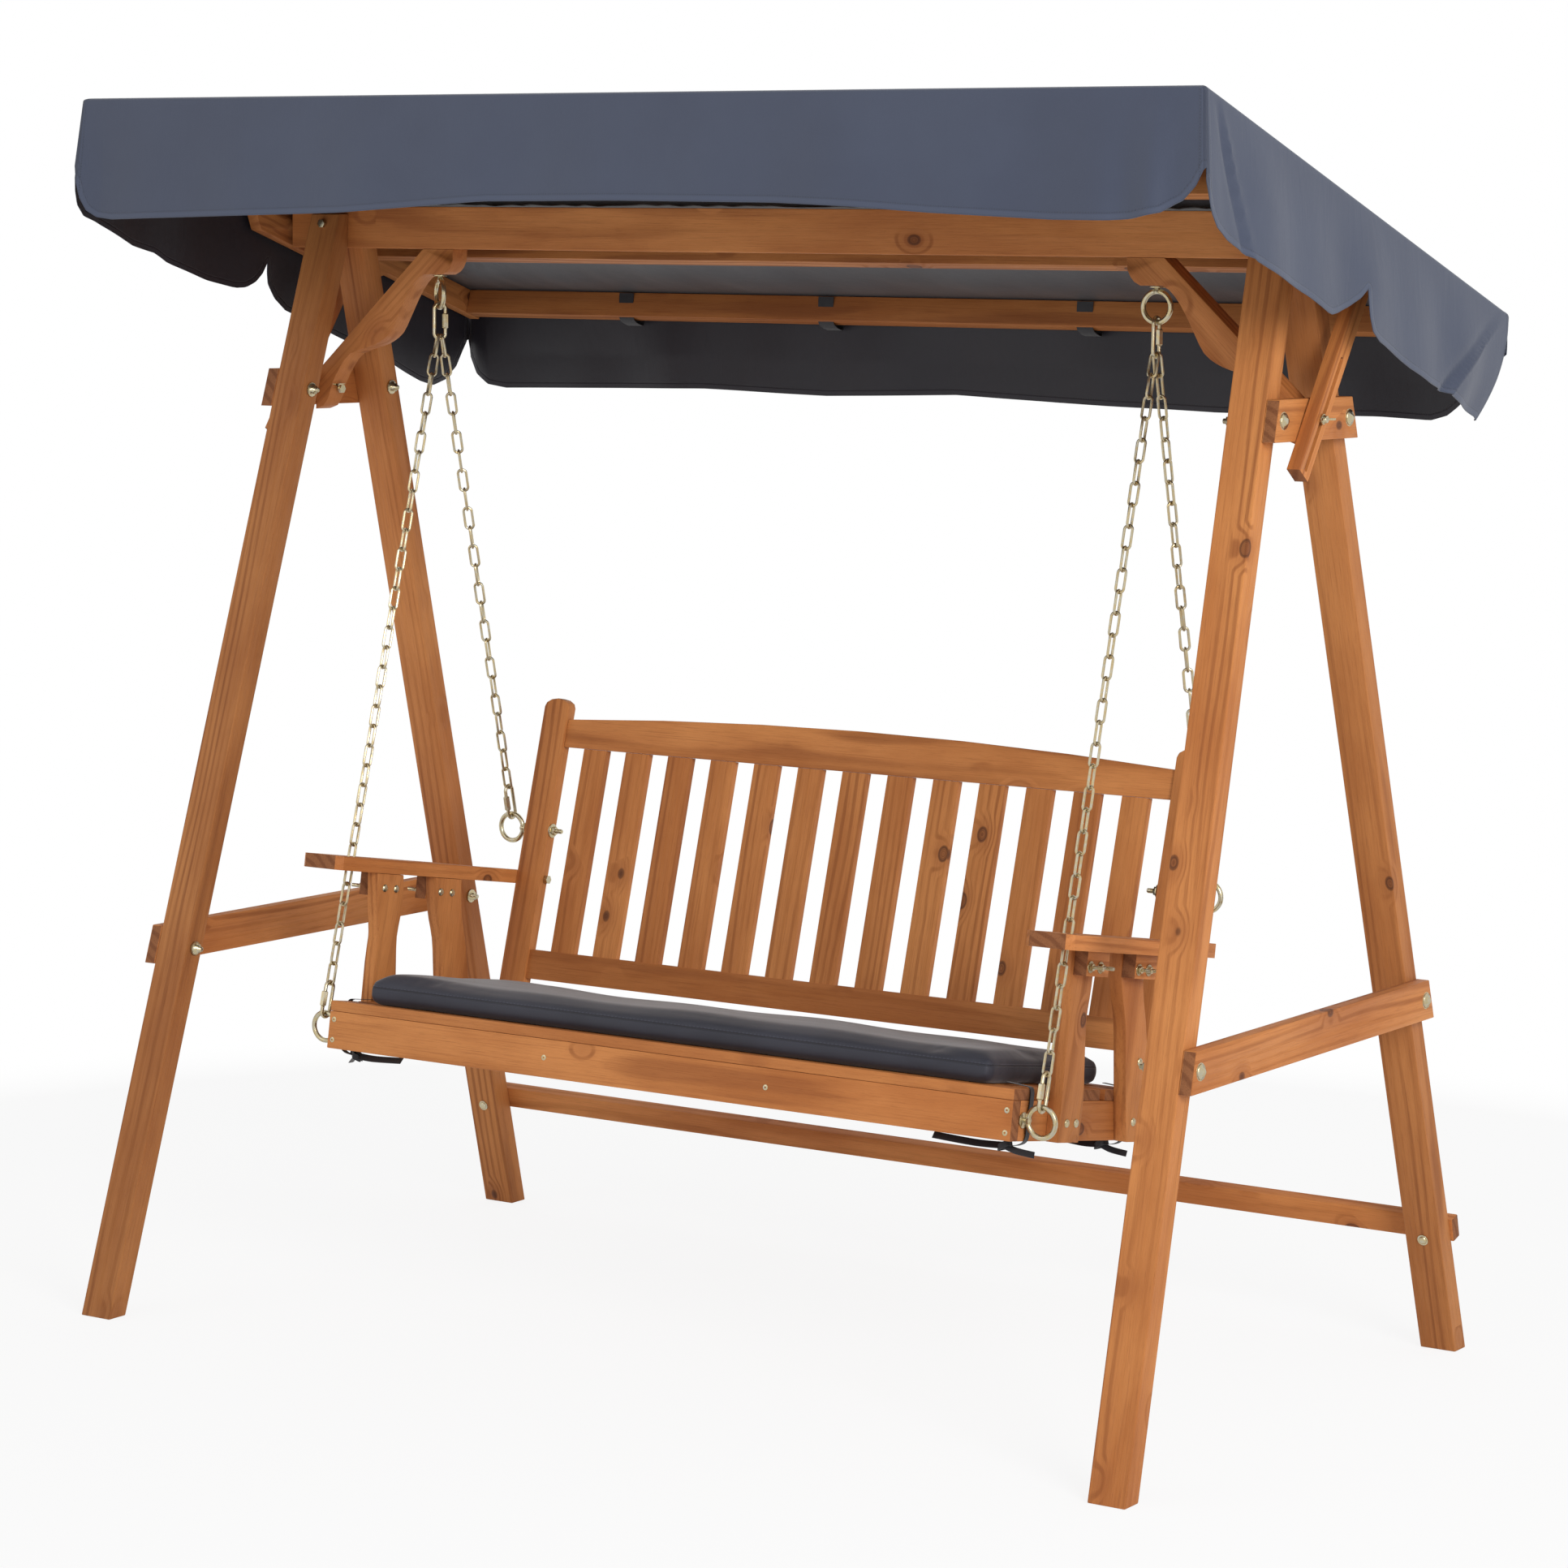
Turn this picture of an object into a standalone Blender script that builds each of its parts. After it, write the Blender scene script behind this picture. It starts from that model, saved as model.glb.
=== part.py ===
"""Timber canopy swing bench: a splayed stand, a chained bench and a tilting cloth roof."""
import math

import bmesh
import bpy
from mathutils import Matrix, Vector

# Clearances
gap = 0.0003
run_clear = 0.0006
over = 0.004

# Stand: +X is the right end, -Y the front, Z 0 the ground
leg_wide = 0.060
leg_deep = 0.0396
leg_half_span = 0.875
lean_share = 0.0323
slope_share = 0.293
leg_foot_y = 0.5428
leg_top = 1.776
apex_share = 0.4
beam_over = 0.060
beam_deep = 0.038
beam_low = 1.720
beam_high = 0.069
plate_low = 1.4594
plate_high = 0.0612
plate_thick = 0.0216
side_rail_low = 0.5564
side_rail_high = 0.0609
side_rail_thick = 0.021
stretcher_over = 0.0042
stretcher_low = 0.181
stretcher_wide = 0.038
stretcher_thick = 0.022

# Braces under the beam, with their outline as shares of reach and drop
brace_inner = 0.626
brace_thick = 0.038
brace_drop = 0.268
brace_top_share = 0.223
brace_upper_share = 0.769
brace_curve_shares = ((0.972, 0.978), (0.930, 0.918), (0.906, 0.840), (0.843, 0.731), (0.767, 0.649),
                      (0.627, 0.604), (0.544, 0.571), (0.470, 0.515), (0.418, 0.425), (0.355, 0.306),
                      (0.290, 0.209), (0.215, 0.153), (0.084, 0.153), (0.024, 0.108), (0.003, 0.056))
brace_bolt_drop = 0.232
brace_bolt_share = 0.62
brace_hole_share = 0.2

# Bolts
bolt_radius = 0.004
bolt_hole = 0.0046
washer_radius = 0.0118
washer_thick = 0.002
head_radius = 0.0075
head_high = 0.005
nut_corner = 0.0075
nut_high = 0.0065
thread_out = 0.006
small_nut_corner = 0.0058
small_nut_high = 0.004

# Chains and their hangers
chain_x = 0.668
ring_radius = 0.023
ring_wire = 0.008
eye_washer = 0.0115
eye_seat_share = 0.155
eye_screw = 0.034
link_wire = 0.0042
link_wide = 0.018
link_bite = 0.0003
link_corner_share = 0.25
quick_corner_share = 0.16
seat_turn_share = 1.25
front_links = 33
rear_links = 24
chain_part = 0.0030
quick_long = 0.064
quick_wide = 0.025
quick_wire = 0.006
quick_sleeve = 0.0095
quick_sleeve_long = 0.024

# Bench: its frame starts at the front board's lower front edge and leans back
bench_y = -0.3355
bench_z = 0.4417
bench_tilt = math.radians(9.0)
seat_half = 0.636
board_thick = 0.022
board_high = 0.060
slat_count = 6
slat_pitch = 0.0691
slat_wide = 0.0541
slat_thick = 0.0165
rear_board_at = 0.4095
post_at = 0.4318
rake_share = 0.1143
post_wide = 0.050
post_thick = 0.0218
post_high = 0.6066
post_outer = 0.634
top_rail_low = 0.5247
top_rail_end = 0.0475
top_rail_rise = 0.020
rail_setback = 0.005
rail_thick = 0.0168
low_rail_at = 0.129
low_rail_high = 0.049
back_slats = 13
back_slat_pitch = 0.0865
back_slat_wide = 0.048
back_slat_thick = 0.0115

# Arms and their sawn supports
arm_low = 0.2865
arm_thick = 0.0225
arm_wide = 0.0805
arm_front = -0.015
arm_past = 0.0492
arm_chamfer = 0.010
arm_taper_shares = (0.62, 0.80)
arm_tail_share = 0.42
arm_bend_shares = ((1.0, 0.0), (0.931, 0.30), (0.087, 0.75), (0.0, 1.0))
arm_hole = 0.0145
arm_bolt_share = 0.687
support_thick = 0.0217
support_front_at = 0.1045
support_rear_at = 0.318
support_front_shares = ((-0.052, 1.0), (-0.031, 0.839), (-0.002, 0.699), (0.007, 0.629), (-0.002, 0.489),
                        (0.0, 0.0), (0.217, 0.0), (0.232, 0.210), (0.215, 0.349), (0.194, 0.507),
                        (0.180, 0.646), (0.194, 0.751), (0.204, 0.874), (0.187, 1.0))
support_rear_shares = ((-0.252, 1.0), (-0.227, 0.863), (-0.189, 0.751), (-0.142, 0.646), (-0.105, 0.489),
                       (-0.049, 0.210), (0.0, 0.0), (0.231, 0.0), (0.196, 0.210), (0.154, 0.419),
                       (0.087, 0.646), (0.045, 0.751), (0.014, 0.863), (-0.007, 1.0))
cleat_high = 0.038
cleat_thick = 0.022
cleat_long = 0.067
cleat_front_at = 0.101
cleat_rear_at = 0.251
ring_front_at = 0.0318
ring_front_up = 0.0315
ring_rear_up = 0.381

# Cushion
cushion_half = 0.600
cushion_deep = 0.380
cushion_edge = 0.040
cushion_crown = 0.060
cushion_draw = 0.008
cushion_bow = 0.004
cushion_tuck = 0.0048
cushion_cells = 14
cushion_rows = 6

# Canopy: it tilts about the line through the leg tops
roof_pivot_z = 1.755
fall_share = -0.31
roof_mid_z = 1.7985
roof_rail_high = 0.044
roof_rail_wide = 0.028
front_rail_at = -0.455
fore_rail_at = -0.157
aft_rail_at = 0.180
rear_rail_at = 0.496
roof_side_clear = 0.007
roof_side_thick = 0.022
roof_front = -0.479
roof_rear = 0.510
belly_drop = 0.0345
belly_front = -0.107
belly_flat = -0.091
belly_back = 0.190
belly_end = 0.250
cloth_thick = 0.003
cloth_over = 0.006
cloth_front = -0.488
cloth_back = 0.5155
cloth_sag = 0.008
cloth_flare = 0.008
cloth_fold = 0.004
cloth_cells = 16
cloth_rows = 3
front_drop = 0.165
rear_drop = 0.172
side_drop = 0.187
slit_share = 0.45
corner_slit_share = 0.315
scallop_share = 0.08

# Tilt struts and their bolts
strut_clear = 0.00105
strut_thick = 0.021
strut_wide = 0.033
strut_foot_y = -0.0855
strut_foot_z = 1.4117
slot_wide = 0.009
slot_start = 0.0125
slot_run = 0.187
pin_y = 0.135
pin_z = 1.730
pin_radius = 0.004
pin_head = 0.007
pin_head_high = 0.0045
spacer_radius = 0.008
wing_y = -0.0312
wing_z = 1.4915
wing_radius = 0.0028
wing_span = 0.018
wing_thick = 0.003
wing_high = 0.014
wing_hub = 0.0065
pivot_bolt = 0.005
pivot_depth = 0.040

round_sides = 12
ring_steps = 12
wire_sides = 6

# Looks
PINE = ("pine", (0.44, 0.17, 0.06), 0.62, 0.0)
PINE_DARK = ("pine_dark", (0.30, 0.10, 0.035), 0.66, 0.0)
ZINC = ("zinc", (0.62, 0.58, 0.48), 0.34, 1.0)
NAVY = ("navy_cloth", (0.035, 0.042, 0.065), 0.85, 0.0)

for old in list(bpy.data.objects):
    bpy.data.objects.remove(old, do_unlink=True)
parts = bpy.data.collections.new("canopy_swing_bench")
cutters = bpy.data.collections.new("cutters")
bpy.context.scene.collection.children.link(parts)
bpy.context.scene.collection.children.link(cutters)


def looks(obj, look):
    """Gives the object a material of its own."""
    mat = bpy.data.materials.new(obj.name)
    mat.use_nodes = True
    shader = mat.node_tree.nodes["Principled BSDF"]
    shader.inputs["Base Color"].default_value = (*look[1], 1)
    shader.inputs["Roughness"].default_value = look[2]
    shader.inputs["Metallic"].default_value = look[3]
    obj.data.materials.clear()
    obj.data.materials.append(mat)


def frame_empty(name, location, tilt=0.0, parent=None):
    """An empty on a joint's axis, or at the start of a leaning frame."""
    empty = bpy.data.objects.new(name, None)
    parts.objects.link(empty)
    empty.location = location
    empty.rotation_euler = (tilt, 0, 0)
    if parent:
        empty.parent = parent
        empty.matrix_parent_inverse = parent.matrix_world.inverted()
    bpy.context.view_layer.update()
    return empty


def outward(bm):
    """Turns every face of a closed body outwards."""
    bmesh.ops.recalc_face_normals(bm, faces=bm.faces)
    if bm.calc_volume(signed=True) < 0:
        bmesh.ops.reverse_faces(bm, faces=bm.faces)


def add(name, bm, look, frame=None, world=True):
    """Makes the object from its mesh. World coordinates are turned into the frame's own."""
    mesh = bpy.data.meshes.new(name)
    if all(edge.is_manifold for edge in bm.edges):
        outward(bm)
    bm.to_mesh(mesh)
    bm.free()
    obj = bpy.data.objects.new(name, mesh)
    parts.objects.link(obj)
    looks(obj, look)
    if frame:
        obj.parent = frame
        if world:
            mesh.transform(frame.matrix_world.inverted())
    bpy.context.view_layer.update()
    return obj


def sawn_mesh(outline, axis, low, high):
    """A flat outline cut from board and extruded along an axis."""
    curve = bpy.data.curves.new("outline", "CURVE")
    curve.dimensions = "2D"
    curve.fill_mode = "BOTH"
    curve.extrude = (high - low) / 2
    spline = curve.splines.new("POLY")
    spline.points.add(len(outline) - 1)
    for point, (a, b) in zip(spline.points, outline):
        point.co = (a, b, 0, 1)
    spline.use_cyclic_u = True
    guide = bpy.data.objects.new("outline", curve)
    cutters.objects.link(guide)
    bpy.context.view_layer.update()
    graph = bpy.context.evaluated_depsgraph_get()
    mesh = bpy.data.meshes.new_from_object(guide.evaluated_get(graph))
    bm = bmesh.new()
    bm.from_mesh(mesh)
    bmesh.ops.remove_doubles(bm, verts=bm.verts, dist=0.00001)
    bpy.data.objects.remove(guide, do_unlink=True)
    bpy.data.meshes.remove(mesh)
    middle = (low + high) / 2
    for vert in bm.verts:
        a, b, c = vert.co
        if axis == "X":
            vert.co = (middle + c, a, b)
        elif axis == "Y":
            vert.co = (a, middle + c, b)
        else:
            vert.co = (a, b, middle + c)
    return bm


def sawn(name, outline, axis, low, high, look, frame=None, world=True):
    """An object sawn to an outline."""
    return add(name, sawn_mesh(outline, axis, low, high), look, frame, world)


def block(name, x, y, z, look, frame=None, world=True):
    """A plain squared piece between two planes each way."""
    bm = bmesh.new()
    size = Matrix.Diagonal((x[1] - x[0], y[1] - y[0], z[1] - z[0], 1))
    middle = Matrix.Translation(((x[0] + x[1]) / 2, (y[0] + y[1]) / 2, (z[0] + z[1]) / 2))
    bmesh.ops.create_cube(bm, size=1, matrix=middle @ size)
    return add(name, bm, look, frame, world)


def lean_side(bm, side):
    """Moves an end's piece out with the legs' lean, and mirrors it for the left end."""
    for vert in bm.verts:
        x = vert.co.x + lean_share * (roof_pivot_z - vert.co.z)
        vert.co.x = side * x
    if side < 0:
        bmesh.ops.reverse_faces(bm, faces=bm.faces)
    return bm


def facing(origin, along):
    """A matrix whose Z lies along a direction."""
    along = Vector(along).normalized()
    return Matrix.Translation(origin) @ along.to_track_quat("Z", "Y").to_matrix().to_4x4()


def turned(stations, origin, along, sides=round_sides):
    """A bolt or pin lofted through stations of distance, radius and whether it is six-sided there."""
    bm = bmesh.new()
    rings = []
    flat = math.cos(math.pi / 6)
    for at, radius, six in stations:
        ring = []
        for k in range(sides):
            reach = radius * flat if six and k % 2 else radius
            angle = math.tau * k / sides
            ring.append(bm.verts.new((reach * math.cos(angle), reach * math.sin(angle), at)))
        rings.append(ring)
    for one, two in zip(rings, rings[1:]):
        for k in range(sides):
            n = (k + 1) % sides
            bm.faces.new((one[k], one[n], two[n], two[k]))
    bm.faces.new(rings[0][::-1])
    bm.faces.new(rings[-1])
    bm.transform(facing(origin, along))
    bmesh.ops.recalc_face_normals(bm, faces=bm.faces)
    return bm


def cutter(bm, frame=None):
    """A hidden object that cuts or joins."""
    mesh = bpy.data.meshes.new("cutter")
    outward(bm)
    bm.to_mesh(mesh)
    bm.free()
    obj = bpy.data.objects.new("cutter", mesh)
    cutters.objects.link(obj)
    obj.hide_render = True
    obj.display_type = "WIRE"
    if frame:
        obj.matrix_world = frame.matrix_world
    return obj


def combine(obj, tool, operation):
    """Adds a boolean that joins or cuts."""
    mod = obj.modifiers.new(operation.lower(), "BOOLEAN")
    mod.operation = operation
    mod.object = tool
    mod.solver = "EXACT"


def drill(obj, origin, along, length, radius=bolt_hole, frame=None):
    """A round hole from its mouth along a direction."""
    tool = turned(((-over, radius, False), (length + over, radius, False)), origin, along)
    combine(obj, cutter(tool, frame), "DIFFERENCE")


def join(obj, bm, frame=None):
    """Fuses a seated piece of hardware to the piece that it is tightened on."""
    combine(obj, cutter(bm, frame), "UNION")


def smooth(points, steps, closed=False):
    """Points on a smooth curve through a hand-drawn outline."""
    out = []
    count = len(points)
    for i in range(count if closed else count - 1):
        p = [points[(i + k) % count if closed else min(max(i + k, 0), count - 1)] for k in (-1, 0, 1, 2)]
        for s in range(steps):
            t = s / steps
            out.append(tuple(0.5 * (2 * b + (c - a) * t + (2 * a - 5 * b + 4 * c - d) * t * t
                                    + (3 * b - a - 3 * c + d) * t ** 3) for a, b, c, d in zip(*p)))
    if not closed:
        out.append(tuple(points[-1]))
    return out


def ring_mesh(radius, wire, centre, turn=0.0, steps=ring_steps):
    """A round wire ring standing in the X and Z plane."""
    bm = bmesh.new()
    loops = []
    for i in range(steps):
        angle = math.tau * (i + 0.5) / steps
        out = Vector((math.cos(angle), 0, math.sin(angle)))
        loop = []
        for k in range(wire_sides):
            turn_k = math.tau * (k + 0.5) / wire_sides
            reach = radius + wire / 2 * math.cos(turn_k)
            aside = Vector((0, wire / 2 * math.sin(turn_k), 0))
            loop.append(bm.verts.new(out * reach / math.cos(math.pi / steps) + aside))
        loops.append(loop)
    for i in range(steps):
        one, two = loops[i], loops[(i + 1) % steps]
        for k in range(wire_sides):
            n = (k + 1) % wire_sides
            bm.faces.new((one[k], one[n], two[n], two[k]))
    bm.transform(Matrix.Translation(centre) @ Matrix.Rotation(turn, 4, "Z"))
    bmesh.ops.recalc_face_normals(bm, faces=bm.faces)
    return bm


def leg_y(z, face=0.0):
    """Distance of a leg's axis, or its outer or inner face, from the middle plane."""
    return leg_foot_y - slope_share * z + face * leg_deep / 2


def side_word(side):
    return "right" if side > 0 else "left"


out_dir = Vector((1, 0, lean_share)).normalized()
beam_face = beam_deep / 2
beam_half = leg_half_span + leg_wide / 2 + beam_over
leg_kink = (leg_foot_y - leg_deep / 2 - beam_face - gap) / slope_share
leg_face = leg_half_span + leg_wide / 2
leg_in = leg_half_span - leg_wide / 2
strut_in = leg_face + lean_share * (roof_pivot_z - plate_low) + gap + plate_thick + strut_clear
roof_side_in = max(beam_half, strut_in + strut_thick) + roof_side_clear
cloth_half = roof_side_in + roof_side_thick + cloth_over
roof_rails_at = (front_rail_at, fore_rail_at, aft_rail_at, rear_rail_at)


def through(z, x):
    """A point on a side piece at a height, on both ends by its side."""
    return x + lean_share * (roof_pivot_z - z)


def carriage(stack, thick):
    """Stations of a bolt with a domed head, washers and a nut round a stack of timber."""
    back = -stack - gap
    return ((head_high + washer_thick, head_radius / 2, False), (washer_thick, head_radius, False),
            (washer_thick, washer_radius, False), (0.0, washer_radius, False),
            (-gap, bolt_radius, False), (back, bolt_radius, False),
            (back, washer_radius, False), (back - washer_thick, washer_radius, False),
            (back - washer_thick, nut_corner, True), (back - washer_thick - nut_high, nut_corner, True),
            (back - washer_thick - nut_high, bolt_radius, False),
            (back - washer_thick - nut_high - thread_out, bolt_radius, False))


def stand_legs():
    """Four legs, cut level at the foot and at the top, and halved against the beam."""
    legs = {}
    for side in (-1, 1):
        for front in (-1, 1):
            outline = [(leg_y(0, -1), 0.0), (leg_y(0, 1), 0.0), (leg_y(leg_top, 1), leg_top),
                       (beam_face + gap, leg_top), (beam_face + gap, leg_kink)]
            outline = [(front * y, z) for y, z in outline]
            bm = lean_side(sawn_mesh(outline, "X", leg_in, leg_face), side)
            name = "leg_" + ("front_" if front < 0 else "rear_") + side_word(side)
            legs[side, front] = add(name, bm, PINE)
    return legs


def side_band(name, low, high, thick, side, legs):
    """A board outside an end's two legs, its ends in line with them, with a bolt into each leg."""
    top = low + high
    outline = [(-leg_y(low, 1), low), (leg_y(low, 1), low), (leg_y(top, 1), top), (-leg_y(top, 1), top)]
    bm = lean_side(sawn_mesh(outline, "X", leg_face + gap, leg_face + gap + thick), side)
    band = add(name, bm, PINE)
    z = low + high / 2
    along = Vector((side * out_dir.x, 0, out_dir.z))
    outer = through(z, leg_face + gap + thick)
    for front in (-1, 1):
        origin = Vector((side * outer, front * leg_y(z), z)) - along * gap
        join(band, turned(carriage(thick + leg_wide + gap, thick), origin, along))
        leg = legs[side, front]
        drill(leg, origin, -along, thick + leg_wide)
    return band


def stand_beam():
    """The top beam, with blind holes for the eyes' screws and the canopy's pivot bolts."""
    beam = block("top_beam", (-beam_half, beam_half), (-beam_face, beam_face),
                 (beam_low, beam_low + beam_high), PINE)
    for side in (-1, 1):
        drill(beam, (side * beam_half, 0, roof_pivot_z), (-side, 0, 0), pivot_depth,
              pivot_bolt + run_clear)
        drill(beam, (side * chain_x, 0, beam_low), (0, 0, 1), eye_screw)
    return beam


def apex_bolts(legs, beam):
    """A bolt through front leg, beam and rear leg at each end, with six-sided head and nut."""
    z = leg_top - leg_deep * apex_share
    reach = leg_y(z - nut_corner, 1) + gap
    for side in (-1, 1):
        x = side * leg_half_span
        stations = ((head_high, nut_corner, True), (0.0, nut_corner, True), (0.0, bolt_radius, False),
                    (-2 * reach, bolt_radius, False), (-2 * reach, nut_corner, True),
                    (-2 * reach - nut_high, nut_corner, True))
        add("apex_bolt_" + side_word(side), turned(stations, (x, -reach, z), (0, -1, 0)), ZINC)
        for front in (-1, 1):
            drill(legs[side, front], (x, front * reach, z), (0, -front, 0), leg_deep)
        drill(beam, (x, -beam_face, z), (0, 1, 0), beam_deep)


def stretcher():
    """The board that lies on the rear legs' sloping backs."""
    run = math.hypot(1, slope_share)
    out = Vector((1 / run, slope_share / run))
    up = Vector((-slope_share / run, 1 / run))
    a = Vector((leg_y(stretcher_low, 1), stretcher_low)) + out * gap
    corners = (a, a + up * stretcher_wide, a + up * stretcher_wide + out * stretcher_thick,
               a + out * stretcher_thick)
    half = through(stretcher_low, leg_face) + stretcher_over
    sawn("stretcher", [tuple(c) for c in corners], "X", -half, half, PINE)


def braces(bands):
    """Sawn curved braces from the beam to the upper plates, with a bolt at the end of each."""
    end_top = beam_low - brace_drop * brace_upper_share
    end_low = beam_low - brace_drop
    reach = through(beam_low, leg_face) - brace_inner
    out = []
    for side in (-1, 1):
        points = [(0.0, 0.0), (brace_top_share, 0.0)]
        outline = [(brace_inner + a * reach, beam_low - gap - b * brace_drop) for a, b in points]
        outline += [(through(end_top, leg_face) - gap, end_top),
                    (through(end_low, leg_face) - gap, end_low)]
        curve = smooth([(a, b) for a, b in brace_curve_shares], 2)
        outline += [(brace_inner + a * reach, beam_low - gap - b * brace_drop) for a, b in curve]
        outline = [(side * x, z) for x, z in outline]
        name = "brace_" + side_word(side)
        brace = sawn(name, outline, "Y", -brace_thick / 2, brace_thick / 2, PINE)
        drill(brace, (side * chain_x, 0, beam_low - brace_drop * brace_hole_share), (0, 0, 1),
              brace_drop * brace_hole_share)
        z = beam_low - brace_bolt_drop
        along = Vector((side * out_dir.x, 0, out_dir.z))
        plate_out = Vector((side * through(z, leg_face + plate_thick + gap), 0, z))
        length = plate_thick + leg_wide * brace_bolt_share
        stations = ((nut_high + thread_out, bolt_radius, False), (nut_high, bolt_radius, False),
                    (nut_high, nut_corner, True), (gap, nut_corner, True), (gap, bolt_radius, False),
                    (-length, bolt_radius, False), (-length, nut_corner, True),
                    (-length - head_high, nut_corner, True))
        join(brace, turned(stations, plate_out, along))
        drill(bands[side], plate_out, -along, plate_thick)
        out.append(brace)
    return out


def hanging_eyes():
    """Screw eyes up through the braces into the beam, each with its washer under the brace."""
    low = beam_low - gap - brace_drop * eye_seat_share
    centre = low - eye_washer * 0.125 - washer_thick - ring_wire / 2 - ring_radius
    for side in (-1, 1):
        stations = ((0.0, bolt_radius, False), (low - washer_thick - gap - centre - ring_radius,
                                                bolt_radius, False),
                    (low - washer_thick - gap - centre - ring_radius, eye_washer, False),
                    (low - gap - centre - ring_radius, eye_washer, False),
                    (low - gap - centre - ring_radius, bolt_radius, False),
                    (beam_low + eye_screw - centre - ring_radius, bolt_radius, False))
        eye = add("hanging_eye_" + side_word(side),
                  ring_mesh(ring_radius, ring_wire, (side * chain_x, 0, centre)),
                  ZINC)
        join(eye, turned(stations, (side * chain_x, 0, centre + ring_radius), (0, 0, 1)))
    return centre - ring_radius


def wing_bolts(bands):
    """Bolts with wing nuts that clamp the struts to the upper plates."""
    for side in (-1, 1):
        along = Vector((side, 0, 0))
        inner = through(wing_z, leg_face) - wing_thick
        start = Vector((side * inner, wing_y, wing_z))
        slot_out = strut_in + strut_thick - inner + gap
        stations = ((-small_nut_high, small_nut_corner, True), (0.0, small_nut_corner, True),
                    (0.0, wing_radius, False), (slot_out, wing_radius, False),
                    (slot_out, wing_hub * 1.2, False),
                    (slot_out + wing_thick, wing_hub * 1.2, False),
                    (slot_out + wing_thick, wing_hub, False),
                    (slot_out + wing_high * 0.6, wing_hub * 0.8, False))
        bolt = add("wing_bolt_" + side_word(side), turned(stations, start, along), ZINC)
        for way in (-1, 1):
            shape = ((0.0, wing_thick), (wing_hub, wing_thick), (wing_span, wing_high * 0.75),
                     (wing_span * 0.9, wing_high), (wing_span * 0.6, wing_high * 0.95),
                     (0.0, wing_high * 0.55))
            wing = [(wing_y + way * a, slot_out + inner + b) for a, b in shape]
            bm = sawn_mesh([(side * b, a) for a, b in wing], "Z", wing_z - wing_thick / 2,
                           wing_z + wing_thick / 2)
            join(bolt, bm)
        drill(bands[side], (side * (through(wing_z, leg_face) + plate_thick + over), wing_y, wing_z),
              -along,
              plate_thick + over)


legs = stand_legs()
plates = {}
for side in (-1, 1):
    plates[side] = side_band("upper_plate_" + side_word(side), plate_low, plate_high, plate_thick, side,
                             legs)
    side_band("side_rail_" + side_word(side), side_rail_low, side_rail_high, side_rail_thick, side, legs)
beam = stand_beam()
apex_bolts(legs, beam)
stretcher()
braces(plates)
hinge_z = hanging_eyes()
wing_bolts(plates)


def loop_mesh(long, wide, wire, corner, centre, along, across):
    """A link of squared wire: an eight-cornered loop, long one way and wide across."""
    bm = bmesh.new()
    cut = wire * (2 - math.sqrt(2))
    rims = []
    for inset, trim in ((0.0, 0.0), (wire, cut)):
        a = wide / 2 - inset
        b = long / 2 - inset
        c = corner - trim
        rims.append([(a, b - c), (a - c, b), (c - a, b), (-a, b - c), (-a, c - b), (c - a, -b),
                     (a - c, -b),
                     (a, c - b)])
    rows = []
    for rim, level in ((0, 1), (0, -1), (1, -1), (1, 1)):
        rows.append([bm.verts.new((x, level * wire / 2, z)) for x, z in rims[rim]])
    for r in range(4):
        one, two = rows[r], rows[(r + 1) % 4]
        for k in range(8):
            n = (k + 1) % 8
            bm.faces.new((one[k], one[n], two[n], two[k]))
    third = Vector(along).cross(across)
    turn = Matrix((across, third, along)).transposed().to_4x4()
    bm.transform(Matrix.Translation(centre) @ turn)
    bmesh.ops.recalc_face_normals(bm, faces=bm.faces)
    return bm


def merge(meshes):
    """Several bodies in one mesh."""
    out = bmesh.new()
    for bm in meshes:
        mesh = bpy.data.meshes.new("piece")
        bm.to_mesh(mesh)
        bm.free()
        out.from_mesh(mesh)
        bpy.data.meshes.remove(mesh)
    return out


def quick_link(centre, along, across):
    """A quick link with its threaded sleeve on one side."""
    long = Vector(along)
    wide = Vector(across)
    body = loop_mesh(quick_long, quick_wide, quick_wire, quick_wide * quick_corner_share, centre, long,
                     wide)
    side = Vector(centre) + wide * (quick_wide - quick_wire) / 2 - long * quick_sleeve_long / 2
    sleeve = turned(((0.0, quick_sleeve / 2, True), (quick_sleeve_long, quick_sleeve / 2, True)), side,
                    long)
    return body, sleeve


def chain(name, top, bottom, count, frame):
    """Welded links, each turned a quarter to the last, with a quick link at the lower end."""
    down = (bottom - top).normalized()
    ends = link_wire / 2 + quick_long - 2 * quick_wire - ring_wire / 2 - gap
    step = ((bottom - top).length - ends) / count
    long = step + 2 * link_wire - link_bite
    quarter = math.pi / 2 + (0.0 if count % 2 else math.pi / 2 / count)
    even, odd = [], []
    for k in range(count):
        across = Matrix.Rotation(quarter * k, 3, down) @ Vector((1, 0, 0))
        centre = top + down * (k * step + (long - link_wire) / 2)
        loop = loop_mesh(long, link_wide, link_wire, link_wide * link_corner_share, centre, -down, across)
        (odd if k % 2 else even).append(loop)
    across = Matrix.Rotation(quarter * count, 3, down) @ Vector((1, 0, 0))
    at = (count - 1) * step + long - link_wire - (link_wire + quick_wire) / 2 + link_bite
    body, sleeve = quick_link(top + down * (at + (quick_long - quick_wire) / 2), -down, across)
    (odd if count % 2 else even).append(body)
    obj = add(name, merge(even), ZINC, frame)
    join(obj, merge(odd))
    join(obj, sleeve)
    return obj


bench_pivot = frame_empty("bench_pivot", (0, 0, hinge_z))
bench_frame = frame_empty("bench_frame", (0, bench_y, bench_z), -bench_tilt, bench_pivot)
to_world = bench_frame.matrix_world.copy()
to_bench = to_world.inverted()
seat_top = board_high + gap + slat_thick
post_inner = post_outer - post_wide


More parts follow.
